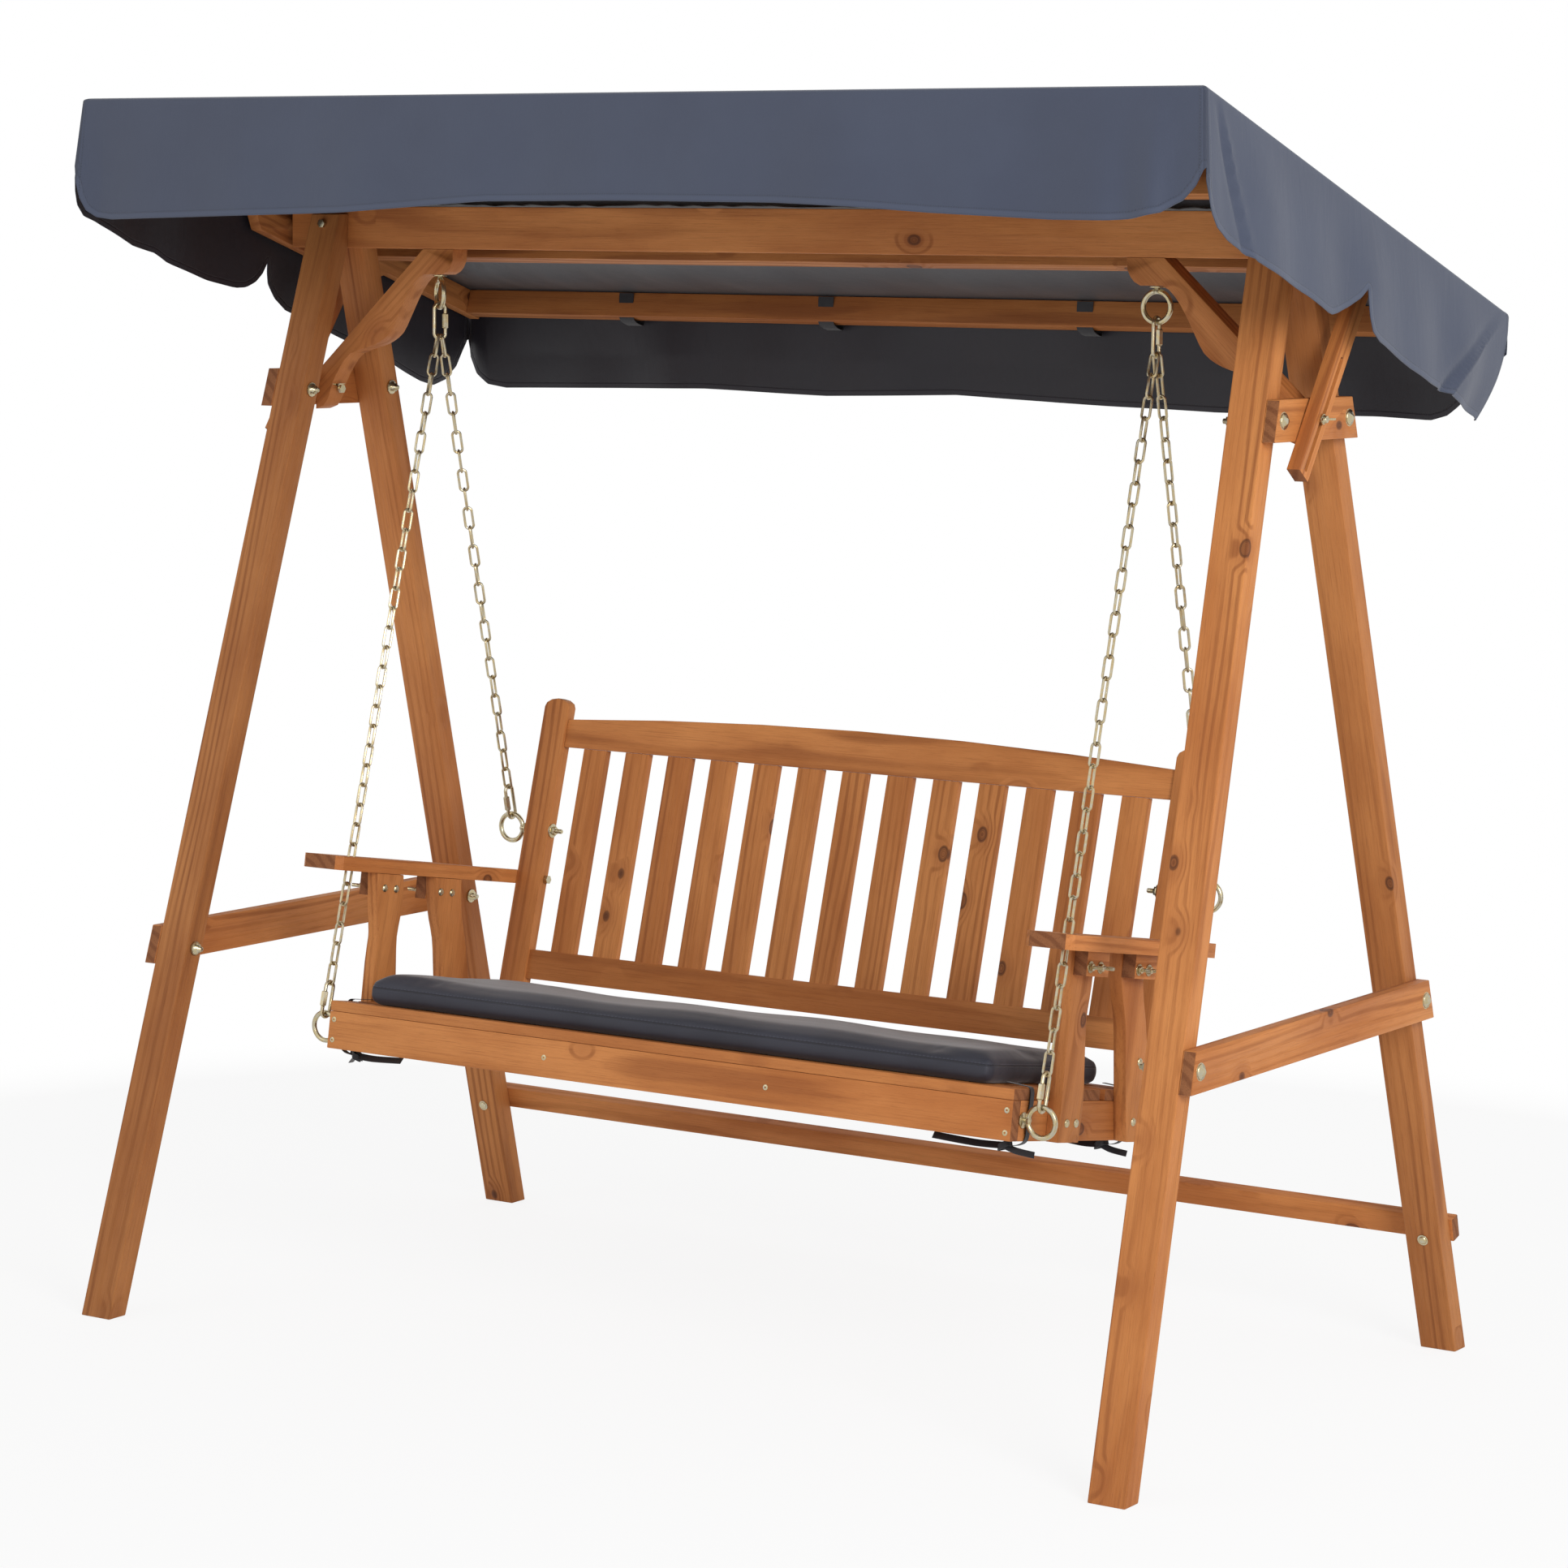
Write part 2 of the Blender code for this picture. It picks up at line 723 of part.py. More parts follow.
def raked(bm):
    """Leans a back piece, drawn upright from the posts' front, to the rake of the posts."""
    for vert in bm.verts:
        vert.co.y += post_at + rake_share * vert.co.z
    return bm


def seat_frame():
    """Front, rear and side boards and the seat slats."""
    inner = seat_half - board_thick
    block("front_board", (-seat_half, seat_half), (0, board_thick), (0, board_high), PINE, bench_frame,
          False)
    block("rear_board", (gap - inner, inner - gap), (rear_board_at, rear_board_at + board_thick),
          (0, board_high), PINE, bench_frame, False)
    boards = {}
    for side in (-1, 1):
        start = board_thick + gap
        outline = [(start, 0), (post_at - gap, 0), (post_at - gap + rake_share * board_high, board_high),
                   (start, board_high)]
        low, high = sorted((side * inner, side * seat_half))
        boards[side] = sawn("side_board_" + side_word(side), outline, "X", low, high, PINE, bench_frame,
                            False)
    for k in range(slat_count):
        block("seat_slat_%d" % (k + 1), (-seat_half, seat_half),
              (k * slat_pitch, k * slat_pitch + slat_wide),
              (board_high + gap, seat_top), PINE, bench_frame, False)
    return boards


def back_frame():
    """Posts with rounded tops, an arched top rail and the slatted lattice on its lower rail."""
    posts = {}
    for side in (-1, 1):
        middle = (post_inner + post_outer) / 2
        crown = post_wide * 0.3
        outline = [(middle - post_wide / 2, 0), (middle + post_wide / 2, 0)]
        for k in range(7):
            angle = math.pi * k / 6
            outline.append((middle + post_wide / 2 * math.cos(angle),
                            post_high - crown + crown * math.sin(angle)))
        outline = [(side * x, z) for x, z in outline]
        bm = raked(sawn_mesh(outline, "Y", 0, post_thick))
        posts[side] = add("back_post_" + side_word(side), bm, PINE, bench_frame, False)
    half = post_inner - gap
    arch = []
    for k in range(13):
        share = 1 - k / 6
        arch.append((half * share, top_rail_low + top_rail_end + top_rail_rise * (1 - share * share)))
    outline = [(-half, top_rail_low), (half, top_rail_low)] + arch
    bm = raked(sawn_mesh(outline, "Y", rail_setback, rail_setback + rail_thick))
    add("top_back_rail", bm, PINE, bench_frame, False)
    outline = [(-half, low_rail_at), (half, low_rail_at), (half, low_rail_at + low_rail_high),
               (-half, low_rail_at + low_rail_high)]
    bm = raked(sawn_mesh(outline, "Y", rail_setback, rail_setback + rail_thick))
    lattice = add("back_lattice", bm, PINE, bench_frame, False)
    front = rail_setback + (rail_thick - back_slat_thick) / 2
    slats = []
    for k in range(back_slats):
        x = (k - (back_slats - 1) / 2) * back_slat_pitch
        outline = [(x - back_slat_wide / 2, low_rail_at + low_rail_high - over),
                   (x + back_slat_wide / 2, low_rail_at + low_rail_high - over),
                   (x + back_slat_wide / 2, top_rail_low - gap),
                   (x - back_slat_wide / 2, top_rail_low - gap)]
        slats.append(raked(sawn_mesh(outline, "Y", front, front + back_slat_thick)))
    join(lattice, merge(slats), bench_frame)
    return posts


def ring_bolt(name, u, w, carrier, face, stack):
    """A ring bolt through a board, with its ring hanging upright outside."""
    centre = Vector((chain_x, u, w))
    world = to_world @ centre
    side = -1 if name.endswith("left") else 1
    world.x = side * chain_x
    obj = add(name, ring_mesh(ring_radius, ring_wire, world), ZINC, bench_pivot)
    start = chain_x - ring_radius
    stations = ((0.0, bolt_radius, False), (start - face - washer_thick - gap, bolt_radius, False),
                (start - face - washer_thick - gap, washer_radius, False),
                (start - face - gap, washer_radius, False), (start - face - gap, bolt_radius, False),
                (start - face + stack + gap, bolt_radius, False),
                (start - face + stack + gap, nut_corner, True),
                (start - face + stack + gap + nut_high, nut_corner, True),
                (start - face + stack + gap + nut_high, bolt_radius, False),
                (start - face + stack + gap + nut_high + thread_out, bolt_radius, False))
    origin = Vector((side * start, world.y, world.z))
    shank = turned(stations, origin, (-side, 0, 0))
    shank.transform(bench_pivot.matrix_world.inverted())
    join(obj, shank, bench_pivot)
    drill(carrier, (side * face, u, w), (-side, 0, 0), stack, bolt_hole, bench_frame)
    return world + Vector((0, 0, ring_radius))


def hangers(boards, posts):
    """Ring bolts, top quick links and the four chains."""
    quick_z = hinge_z + ring_wire / 2 + gap + quick_wire / 2
    low_z = quick_z - quick_long + quick_wire
    start_z = low_z + quick_wire / 2 + link_wire / 2 * seat_turn_share + gap
    up = Vector((0, 0, 1))
    rear_u = post_at + rake_share * ring_rear_up + post_thick / 2
    line = None
    for side in (-1, 1):
        word = side_word(side)
        middle = Vector((side * chain_x, 0, (quick_z + low_z) / 2))
        body, sleeve = quick_link(middle, up, Vector((0, 1, 0)))
        link = add("top_link_" + word, body, ZINC, bench_pivot)
        sleeve.transform(bench_pivot.matrix_world.inverted())
        join(link, sleeve, bench_pivot)
        front = ring_bolt("ring_bolt_front_" + word, ring_front_at, ring_front_up, boards[side], seat_half,
                          board_thick)
        rear = ring_bolt("ring_bolt_rear_" + word, rear_u, ring_rear_up, posts[side], post_outer,
                         post_wide)
        line = (Vector((side * chain_x, -chain_part, start_z)), front)
        chain("chain_front_" + word, line[0], front, front_links, None)
        chain("chain_rear_" + word, Vector((side * chain_x, chain_part, start_z)), rear, rear_links, None)
        for name in ("chain_front_" + word, "chain_rear_" + word):
            obj = bpy.data.objects[name]
            obj.parent = bench_pivot
            obj.matrix_parent_inverse = bench_pivot.matrix_world.inverted()
    bpy.context.view_layer.update()
    return line


boards = seat_frame()
posts = back_frame()
front_line = hangers(boards, posts)


def arms(posts):
    """Armrests with chamfered front corners, a narrow tail, their cleats and the bolt into the post."""
    inner = post_outer + gap
    bolt_at = post_at + rake_share * (arm_low + arm_thick / 2) + post_thick * arm_bolt_share
    arm_long = bolt_at + arm_past - arm_front
    begin, end = (arm_front + arm_long * share for share in arm_taper_shares)
    tail = arm_wide * arm_tail_share
    on_line = [to_bench @ p for p in front_line]
    share = (arm_low - on_line[0].z) / (on_line[1].z - on_line[0].z)
    hole = on_line[0].lerp(on_line[1], share)
    way = (on_line[0] - on_line[1]).normalized()
    for side in (-1, 1):
        word = side_word(side)
        bend = [(tail + a * (arm_wide - tail), begin + b * (end - begin)) for a, b in arm_bend_shares]
        outline = [(0, arm_front + arm_chamfer), (arm_chamfer, arm_front),
                   (arm_wide - arm_chamfer, arm_front),
                   (arm_wide, arm_front + arm_chamfer)] + smooth(bend, 3) + [(tail, arm_front + arm_long),
                                                                (0, arm_front + arm_long)]
        outline = [(side * (inner + a), b) for a, b in outline]
        arm = sawn("armrest_" + word, outline, "Z", arm_low, arm_low + arm_thick, PINE, bench_frame, False)
        drill(arm, (side * chain_x, hole.y, hole.z), (0, way.y, way.z), arm_thick + over, arm_hole,
              bench_frame)
        cleats = []
        for at in (cleat_front_at, cleat_rear_at):
            bm = bmesh.new()
            base = seat_half + gap + support_thick + gap
            middle = (side * (base + cleat_thick / 2), at + cleat_long / 2, arm_low - cleat_high / 2 + gap)
            size = Matrix.Diagonal((cleat_thick, cleat_long, cleat_high, 1))
            bmesh.ops.create_cube(bm, size=1, matrix=Matrix.Translation(middle) @ size)
            cleats.append(bm)
        join(arm, merge(cleats), bench_frame)
        w = arm_low + arm_thick / 2
        stations = ((nut_high, nut_corner * 0.6, False), (gap, nut_corner, False),
                    (gap, bolt_radius, False),
                    (-tail - post_wide - 2 * gap, bolt_radius, False),
                    (-tail - post_wide - 2 * gap, nut_corner, True),
                    (-tail - post_wide - 2 * gap - nut_high, nut_corner, True))
        start = (side * (inner + tail), bolt_at, w)
        seated = turned(tuple((at - 2 * gap, r, six) for at, r, six in stations), start, (side, 0, 0))
        join(arm, seated, bench_frame)
        drill(posts[side], (side * post_outer, bolt_at, w), (-side, 0, 0), post_wide, bolt_hole,
              bench_frame)


def supports():
    """The two sawn curved supports under each arm, screwed to the side boards."""
    high = arm_low - gap
    low = seat_half + gap
    for side in (-1, 1):
        for word, at, shares in (("front_", support_front_at, support_front_shares),
                                 ("rear_", support_rear_at, support_rear_shares)):
            points = [(at + a * high, b * high) for a, b in shares]
            start = 6 if word == "front_" else 7
            outline = smooth(points[:start], 2) + smooth(points[start:], 2)
            a, b = sorted((side * low, side * (low + support_thick)))
            sawn("arm_support_" + word + side_word(side), outline, "X", a, b, PINE, bench_frame, False)


def cushion():
    """A boxed seat cushion with a crowned top and drawn-in sides."""
    bm = bmesh.new()
    bmesh.ops.create_cube(bm, size=1)
    across = [e for e in bm.edges if abs(e.verts[0].co.x - e.verts[1].co.x) > 0.5]
    bmesh.ops.subdivide_edges(bm, edges=across, cuts=cushion_cells - 1, use_grid_fill=True)
    deep = [e for e in bm.edges if abs(e.verts[0].co.y - e.verts[1].co.y) > 0.5]
    bmesh.ops.subdivide_edges(bm, edges=deep, cuts=cushion_rows - 1, use_grid_fill=True)
    tall = [e for e in bm.edges if abs(e.verts[0].co.z - e.verts[1].co.z) > 0.5]
    bmesh.ops.subdivide_edges(bm, edges=tall, cuts=1, use_grid_fill=True)
    for vert in bm.verts:
        x, y, z = vert.co * 2
        rise = (1 - x ** 6) * (1 - y ** 4)
        draw = cushion_draw * (z + 1) / 2 * (1 if z < 0.9 else 0)
        bow = cushion_bow * (1 - abs(z))
        high = cushion_edge + (cushion_crown - cushion_edge) * rise
        side = cushion_half - draw - bow - (cushion_tuck if abs(z) > 0.9 else 0)
        vert.co.x = x * side
        front = cushion_deep / 2 - draw - bow - (cushion_tuck if abs(z) > 0.9 else 0)
        vert.co.y = cushion_deep / 2 + y * front
        vert.co.z = seat_top + gap + (high * (z + 1) / 2)
    add("seat_cushion", bm, NAVY, bench_frame, False)


arms(posts)
supports()
cushion()

canopy_pivot = frame_empty("canopy_pivot", (0, 0, roof_pivot_z))


def roof_top(y):
    """The rails' top line."""
    return roof_mid_z + fall_share * y


def roof_rails():
    """Side rails with a belly at the pivot and four cross rails between them."""
    run = math.hypot(1, fall_share)
    along = Vector((1 / run, fall_share / run))
    down = Vector((fall_share / run, -1 / run))
    deep = roof_rail_high / run
    low = roof_rail_high + belly_drop
    outline = [(roof_front, roof_top(roof_front)), (roof_rear, roof_top(roof_rear)),
               (roof_rear, roof_top(roof_rear) - roof_rail_high),
               (belly_end, roof_top(belly_end) - roof_rail_high),
               (belly_back, roof_top(belly_back) - low), (belly_flat, roof_top(belly_flat) - low),
               (belly_front, roof_top(belly_front) - roof_rail_high),
               (roof_front, roof_top(roof_front) - roof_rail_high)]
    for side in (-1, 1):
        a, b = sorted((side * roof_side_in, side * (roof_side_in + roof_side_thick)))
        rail = sawn("roof_side_rail_" + side_word(side), outline, "X", a, b, PINE_DARK, canopy_pivot)
        face = roof_side_in + over
        stations = ((0.0, washer_radius * 0.8, False),
                    (face - beam_half - gap, washer_radius * 0.8, False),
                    (face - beam_half - gap, pivot_bolt, False),
                    (face - beam_half + pivot_depth * 0.9, pivot_bolt, False))
        bolt = turned(stations, (side * face, 0, roof_pivot_z), (-side, 0, 0))
        spacer = face - strut_in - strut_thick - gap
        inner = face - strut_in + gap
        stations = ((0.0, spacer_radius, False), (spacer, spacer_radius, False),
                    (spacer, pin_radius, False),
                    (inner, pin_radius, False), (inner, pin_head, False),
                    (inner + pin_head_high, pin_head, False))
        pin = turned(stations, (side * face, pin_y, pin_z), (-side, 0, 0))
        both = merge((bolt, pin))
        both.transform(canopy_pivot.matrix_world.inverted())
        join(rail, both, canopy_pivot)
    half = roof_side_in - gap
    for k, y in enumerate(roof_rails_at):
        p = Vector((y, roof_top(y)))
        corners = (p - along * roof_rail_wide / 2, p + along * roof_rail_wide / 2,
                   p + along * roof_rail_wide / 2 + down * deep,
                   p - along * roof_rail_wide / 2 + down * deep)
        sawn("roof_cross_rail_%d" % (k + 1), [tuple(c) for c in corners], "X", -half, half, PINE_DARK,
             canopy_pivot)


def cover():
    """One sheet over the rails with a valance all round, split at its corners and at mid side."""
    flat = roof_side_in - roof_rail_wide / 2
    inside = [flat * (2 * k / (cloth_cells - 4) - 1) for k in range(cloth_cells - 3)]
    columns = [-cloth_half] + inside + [cloth_half]
    edge = roof_rail_wide / 2 + washer_thick
    split = edge * 2.2
    rows = [cloth_front, roof_rails_at[0] + edge]
    for one, two in zip(roof_rails_at, roof_rails_at[1:]):
        start, stop = one + edge, two - edge
        if one < 0 < two:
            middle = (start + stop) / 2
            rows += [middle - split, middle, middle + split, stop]
            notch = middle
        else:
            rows += [start + (stop - start) * k / 3 for k in (1, 2, 3)]
        if two != roof_rails_at[-1]:
            rows.append(two + edge)
    rows.append(cloth_back)

    def sag(x, y):
        for one, two in zip(roof_rails_at, roof_rails_at[1:]):
            start, stop = one + edge, two - edge
            if start < y < stop and abs(x) < flat - gap and not one < 0 < two:
                return cloth_sag * math.sin(math.pi * (y - start) / (stop - start))
        return 0.0

    bm = bmesh.new()
    lift = (cloth_thick + gap) * math.hypot(1, fall_share)
    grid = [[bm.verts.new((x, y, roof_top(y) + lift - sag(x, y))) for x in columns] for y in rows]
    for j in range(len(rows) - 1):
        for i in range(len(columns) - 1):
            bm.faces.new((grid[j][i], grid[j][i + 1], grid[j + 1][i + 1], grid[j + 1][i]))
    last_row, last_column = len(rows) - 1, len(columns) - 1
    rim = [(0, i) for i in range(last_column)] + [(j, last_column) for j in range(last_row)]
    rim += [(last_row, i) for i in range(last_column, 0, -1)] + [(j, 0) for j in range(last_row, 0, -1)]
    rings = [[grid[j][i] for j, i in rim]]
    for level in range(1, cloth_rows + 1):
        ring = []
        for k, (j, i) in enumerate(rim):
            top = grid[j][i].co
            out_x = (i == last_column) - (i == 0)
            out_y = (j == last_row) - (j == 0)
            corner = out_x and out_y
            drop = rear_drop if out_y > 0 else front_drop if out_y < 0 else side_drop
            if corner:
                drop = drop * (1 - corner_slit_share)
            elif out_x and abs(top.y - notch) < gap:
                drop = drop * (1 - slit_share)
            elif k % 2:
                drop = drop * (1 - scallop_share)
            share = level / cloth_rows
            push = cloth_flare * share + (0 if corner else cloth_fold * share * (1 if k % 2 else -1))
            ring.append(bm.verts.new((top.x + out_x * push, top.y + out_y * push, top.z - drop * share)))
        rings.append(ring)
    count = len(rim)
    for one, two in zip(rings, rings[1:]):
        for k in range(count):
            n = (k + 1) % count
            bm.faces.new((one[k], two[k], two[n], one[n]))
    obj = add("canopy_cover", bm, NAVY, canopy_pivot)
    mod = obj.modifiers.new("cloth", "SOLIDIFY")
    mod.thickness = cloth_thick
    mod.offset = -1
    mod.use_even_offset = True
    return obj


def struts():
    """Slotted struts that hang from the side rails, square at the foot and round at the pin."""
    top = Vector((pin_y, pin_z))
    foot = Vector((strut_foot_y, strut_foot_z))
    along = (top - foot).normalized()
    across = Vector((along.y, -along.x))
    half = strut_wide / 2
    angle_out = math.atan2(across.y, across.x)
    for side in (-1, 1):
        word = side_word(side)
        pivot = frame_empty("strut_pivot_" + word, (side * strut_in, pin_y, pin_z), 0, canopy_pivot)
        outline = [foot - across * half, foot + across * half]
        for k in range(9):
            angle = angle_out + math.pi * k / 8
            outline.append(top + Vector((math.cos(angle), math.sin(angle))) * half)
        low, high = sorted((side * strut_in, side * (strut_in + strut_thick)))
        strut = sawn("tilt_strut_" + word, [tuple(c) for c in outline], "X", low, high, PINE, pivot)
        drill(strut, (side * (strut_in + strut_thick), pin_y, pin_z), (-side, 0, 0), strut_thick,
              pin_radius + run_clear)
        slot = []
        for centre, begin in ((foot + along * slot_start, angle_out + math.pi),
                              (foot + along * (slot_start + slot_run), angle_out)):
            for k in range(7):
                angle = begin + math.pi * k / 6
                slot.append(tuple(centre + Vector((math.cos(angle), math.sin(angle))) * slot_wide / 2))
        combine(strut, cutter(sawn_mesh(slot, "X", low - over, high + over)), "DIFFERENCE")


roof_rails()
cover()
struts()
bpy.context.view_layer.update()
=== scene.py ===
import math

import bmesh
import bpy
from mathutils import Matrix, Vector


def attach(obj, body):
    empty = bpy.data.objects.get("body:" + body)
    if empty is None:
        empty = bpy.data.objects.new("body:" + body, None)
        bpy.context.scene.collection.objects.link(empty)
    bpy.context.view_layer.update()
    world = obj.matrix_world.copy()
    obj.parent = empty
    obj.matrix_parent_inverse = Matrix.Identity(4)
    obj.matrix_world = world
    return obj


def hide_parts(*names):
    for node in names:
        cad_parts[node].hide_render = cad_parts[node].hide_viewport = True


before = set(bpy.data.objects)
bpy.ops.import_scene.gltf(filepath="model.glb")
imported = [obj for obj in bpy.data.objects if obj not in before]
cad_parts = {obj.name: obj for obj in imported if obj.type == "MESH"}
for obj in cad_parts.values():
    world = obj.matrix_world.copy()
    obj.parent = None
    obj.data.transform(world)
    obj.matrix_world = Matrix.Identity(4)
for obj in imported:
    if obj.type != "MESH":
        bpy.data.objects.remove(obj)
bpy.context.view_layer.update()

# Camera: the photograph was taken from the right of the front, a little below the beam's height,
# with a long lens. The frame is square and has no shift.
picture_side, focal_pixels, sensor = 1932, 5438.37, 36.0
view_from = Vector((3.8021, -5.8026, 1.7257))
view_yaw, view_pitch, view_roll = (math.radians(a) for a in (33.1065, -6.9035, 0.6542))
ahead = Vector((-math.sin(view_yaw) * math.cos(view_pitch), math.cos(view_yaw) * math.cos(view_pitch),
                math.sin(view_pitch)))
level_right = ahead.cross(Vector((0, 0, 1))).normalized()
level_up = level_right.cross(ahead)
camera_right = level_right * math.cos(view_roll) + level_up * math.sin(view_roll)
camera_up = level_up * math.cos(view_roll) - level_right * math.sin(view_roll)
bpy.ops.object.select_all(action="DESELECT")
bpy.ops.object.camera_add()
camera = bpy.context.object
camera.data.sensor_width = sensor
camera.data.lens = sensor * focal_pixels / picture_side
camera.matrix_world = (Matrix.Translation(view_from)
                       @ Matrix((camera_right, camera_up, -ahead)).transposed().to_4x4())
bpy.context.scene.camera = camera
bpy.context.scene.view_settings.view_transform = "Standard"


# Studio: a plain pale floor that runs out to white, an even sky, a large soft lamp at the
# front right and a weaker one at the left.
class Wire:
    """A node socket that adds its own maths nodes when it is used in an expression."""

    def __init__(self, tree, socket):
        self.tree, self.socket = tree, socket

    def node(self, kind, settings=None, **sockets):
        """A node of any kind: its settings first, then values or wires by name or by i and number."""
        made = self.tree.nodes.new(kind)
        for key, value in (settings or {}).items():
            setattr(made, key, value)
        for key, value in sockets.items():
            into = made.inputs[int(key[1:])] if key[0] == "i" and key[1:].isdigit() else made.inputs[key]
            if isinstance(value, Wire):
                self.tree.links.new(value.socket, into)
            else:
                into.default_value = value
        return made

    def maths(self, operation, other=None):
        values = {"i0": self} if other is None else {"i0": self, "i1": other}
        return Wire(self.tree, self.node("ShaderNodeMath", {"operation": operation}, **values).outputs[0])

    def __add__(self, other):
        return self.maths("ADD", other)

    def __sub__(self, other):
        return self.maths("SUBTRACT", other)

    def __mul__(self, other):
        return self.maths("MULTIPLY", other)

    def __rsub__(self, other):
        return self.maths("MULTIPLY", -1.0) + other

    __radd__ = __add__
    __rmul__ = __mul__

    def step(self, low, high):
        """From 0 at low to 1 at high, smoothly."""
        made = self.node("ShaderNodeMapRange", {"interpolation_type": "SMOOTHSTEP"}, i0=self)
        made.inputs[1].default_value, made.inputs[2].default_value = low, high
        return Wire(self.tree, made.outputs[0])

    def line(self, at, core, blur):
        """A thin line where this is at a value: its half width, and where its blur ends."""
        return 1.0 - (self - at).maths("ABSOLUTE").step(core, blur)

    def dot(self, vector):
        made = self.node("ShaderNodeVectorMath", {"operation": "DOT_PRODUCT"}, i0=self, i1=vector)
        return Wire(self.tree, made.outputs["Value"])

    def noise(self, scale, detail=3.0, rough=0.55, distort=0.0):
        made = self.node("ShaderNodeTexNoise", Vector=self, Scale=scale, Detail=detail, Roughness=rough,
                         Distortion=distort)
        return Wire(self.tree, made.outputs[0])

    def join(self, b, c):
        """A vector from this and two more numbers."""
        made = self.node("ShaderNodeCombineXYZ", i0=self, i1=b, i2=c)
        return Wire(self.tree, made.outputs[0])

    def blend(self, one, two):
        """A colour between one and two by this mask."""
        made = self.node("ShaderNodeMix", {"data_type": "RGBA"}, i0=self)
        for place, value in ((6, one), (7, two)):
            if isinstance(value, Wire):
                self.tree.links.new(value.socket, made.inputs[place])
            else:
                made.inputs[place].default_value = (*value, 1)
        return Wire(self.tree, made.outputs[2])


def new_material(name):
    """A material with its shader, and its object coordinates as a wire."""
    made = bpy.data.materials.new(name)
    made.use_nodes = True
    tree = made.node_tree
    place = tree.nodes.new("ShaderNodeTexCoord")
    return made, tree.nodes["Principled BSDF"], Wire(tree, place.outputs["Object"])


def feed(shader, socket, wire):
    wire.tree.links.new(wire.socket, shader.inputs[socket])


def constants(shader, values):
    for socket, value in values.items():
        shader.inputs[socket].default_value = value


def bump(shader, height, distance, strength=1.0):
    """Lets a height, in the unit of the distance, tilt the surface."""
    made = height.node("ShaderNodeBump", Height=height, Distance=distance, Strength=strength)
    height.tree.links.new(made.outputs[0], shader.inputs["Normal"])


def shown_in(tree):
    """One for the rays that show the background: the camera's, and those off or through a surface."""
    paths = tree.nodes.new("ShaderNodeLightPath")
    seen, glossy, through = (Wire(tree, paths.outputs["Is %s Ray" % kind])
                             for kind in ("Camera", "Glossy", "Transmission"))
    return seen.maths("MAXIMUM", glossy).maths("MAXIMUM", through)


sky_light, floor_white = 0.55, 0.87
world = bpy.data.worlds.new("studio")
bpy.context.scene.world = world
world.use_nodes = True
sky = world.node_tree.nodes["Background"]
sky.inputs["Color"].default_value = (1, 1, 1, 1)
sky_strength = shown_in(world.node_tree) * (1.0 - sky_light) + sky_light
world.node_tree.links.new(sky_strength.socket, sky.inputs["Strength"])

bpy.ops.mesh.primitive_plane_add(size=60, location=(0, 0, -0.0005))
floor = bpy.context.object
floor.name = "floor"
floor_look, floor_shader, at = new_material("studio_floor")
constants(floor_shader, {"Base Color": (0.86, 0.86, 0.86, 1), "Roughness": 0.9, "Specular IOR Level": 0.1})
tree = floor_look.node_tree
reach = at.node("ShaderNodeVectorMath", {"operation": "LENGTH"}, i0=at)
whiter = Wire(tree, reach.outputs["Value"]).step(1.0, 2.8).maths("MAXIMUM", shown_in(tree) * floor_white)
white = tree.nodes.new("ShaderNodeEmission")
mix = whiter.node("ShaderNodeMixShader", i0=whiter)
tree.links.new(floor_shader.outputs[0], mix.inputs[1])
tree.links.new(white.outputs[0], mix.inputs[2])
tree.links.new(mix.outputs[0], tree.nodes["Material Output"].inputs[0])
floor.data.materials.append(floor_look)

lamp_target = Vector((0, 0, 1.0))
for name, place, size, power in (("lamp_left", Vector((-3.4, -5.6, 3.6)), 3.4, 31),
                                 ("lamp_right", Vector((5.6, -3.4, 3.4)), 2.6, 262)):
    bpy.ops.object.light_add(type="AREA", location=place)
    lamp = bpy.context.object
    lamp.name = name
    lamp.data.size = size
    lamp.data.energy = power
    lamp.rotation_euler = (lamp_target - place).to_track_quat("-Z", "Y").to_euler()


# The stand: squared pine, planed, brushed and stained a warm brown, its arrises eased.
# Each piece is sawn from the board, so the grain runs along its length.
stain_pale, stain_warm = (0.42, 0.140, 0.035), (0.61, 0.242, 0.072)
late_wood, brushed_fibre = (0.225, 0.062, 0.016), (0.15, 0.042, 0.012)
knot_halo, knot_heart, knot_rim = (0.27, 0.078, 0.02), (0.125, 0.034, 0.010), (0.05, 0.015, 0.006)
grain_ways = {}


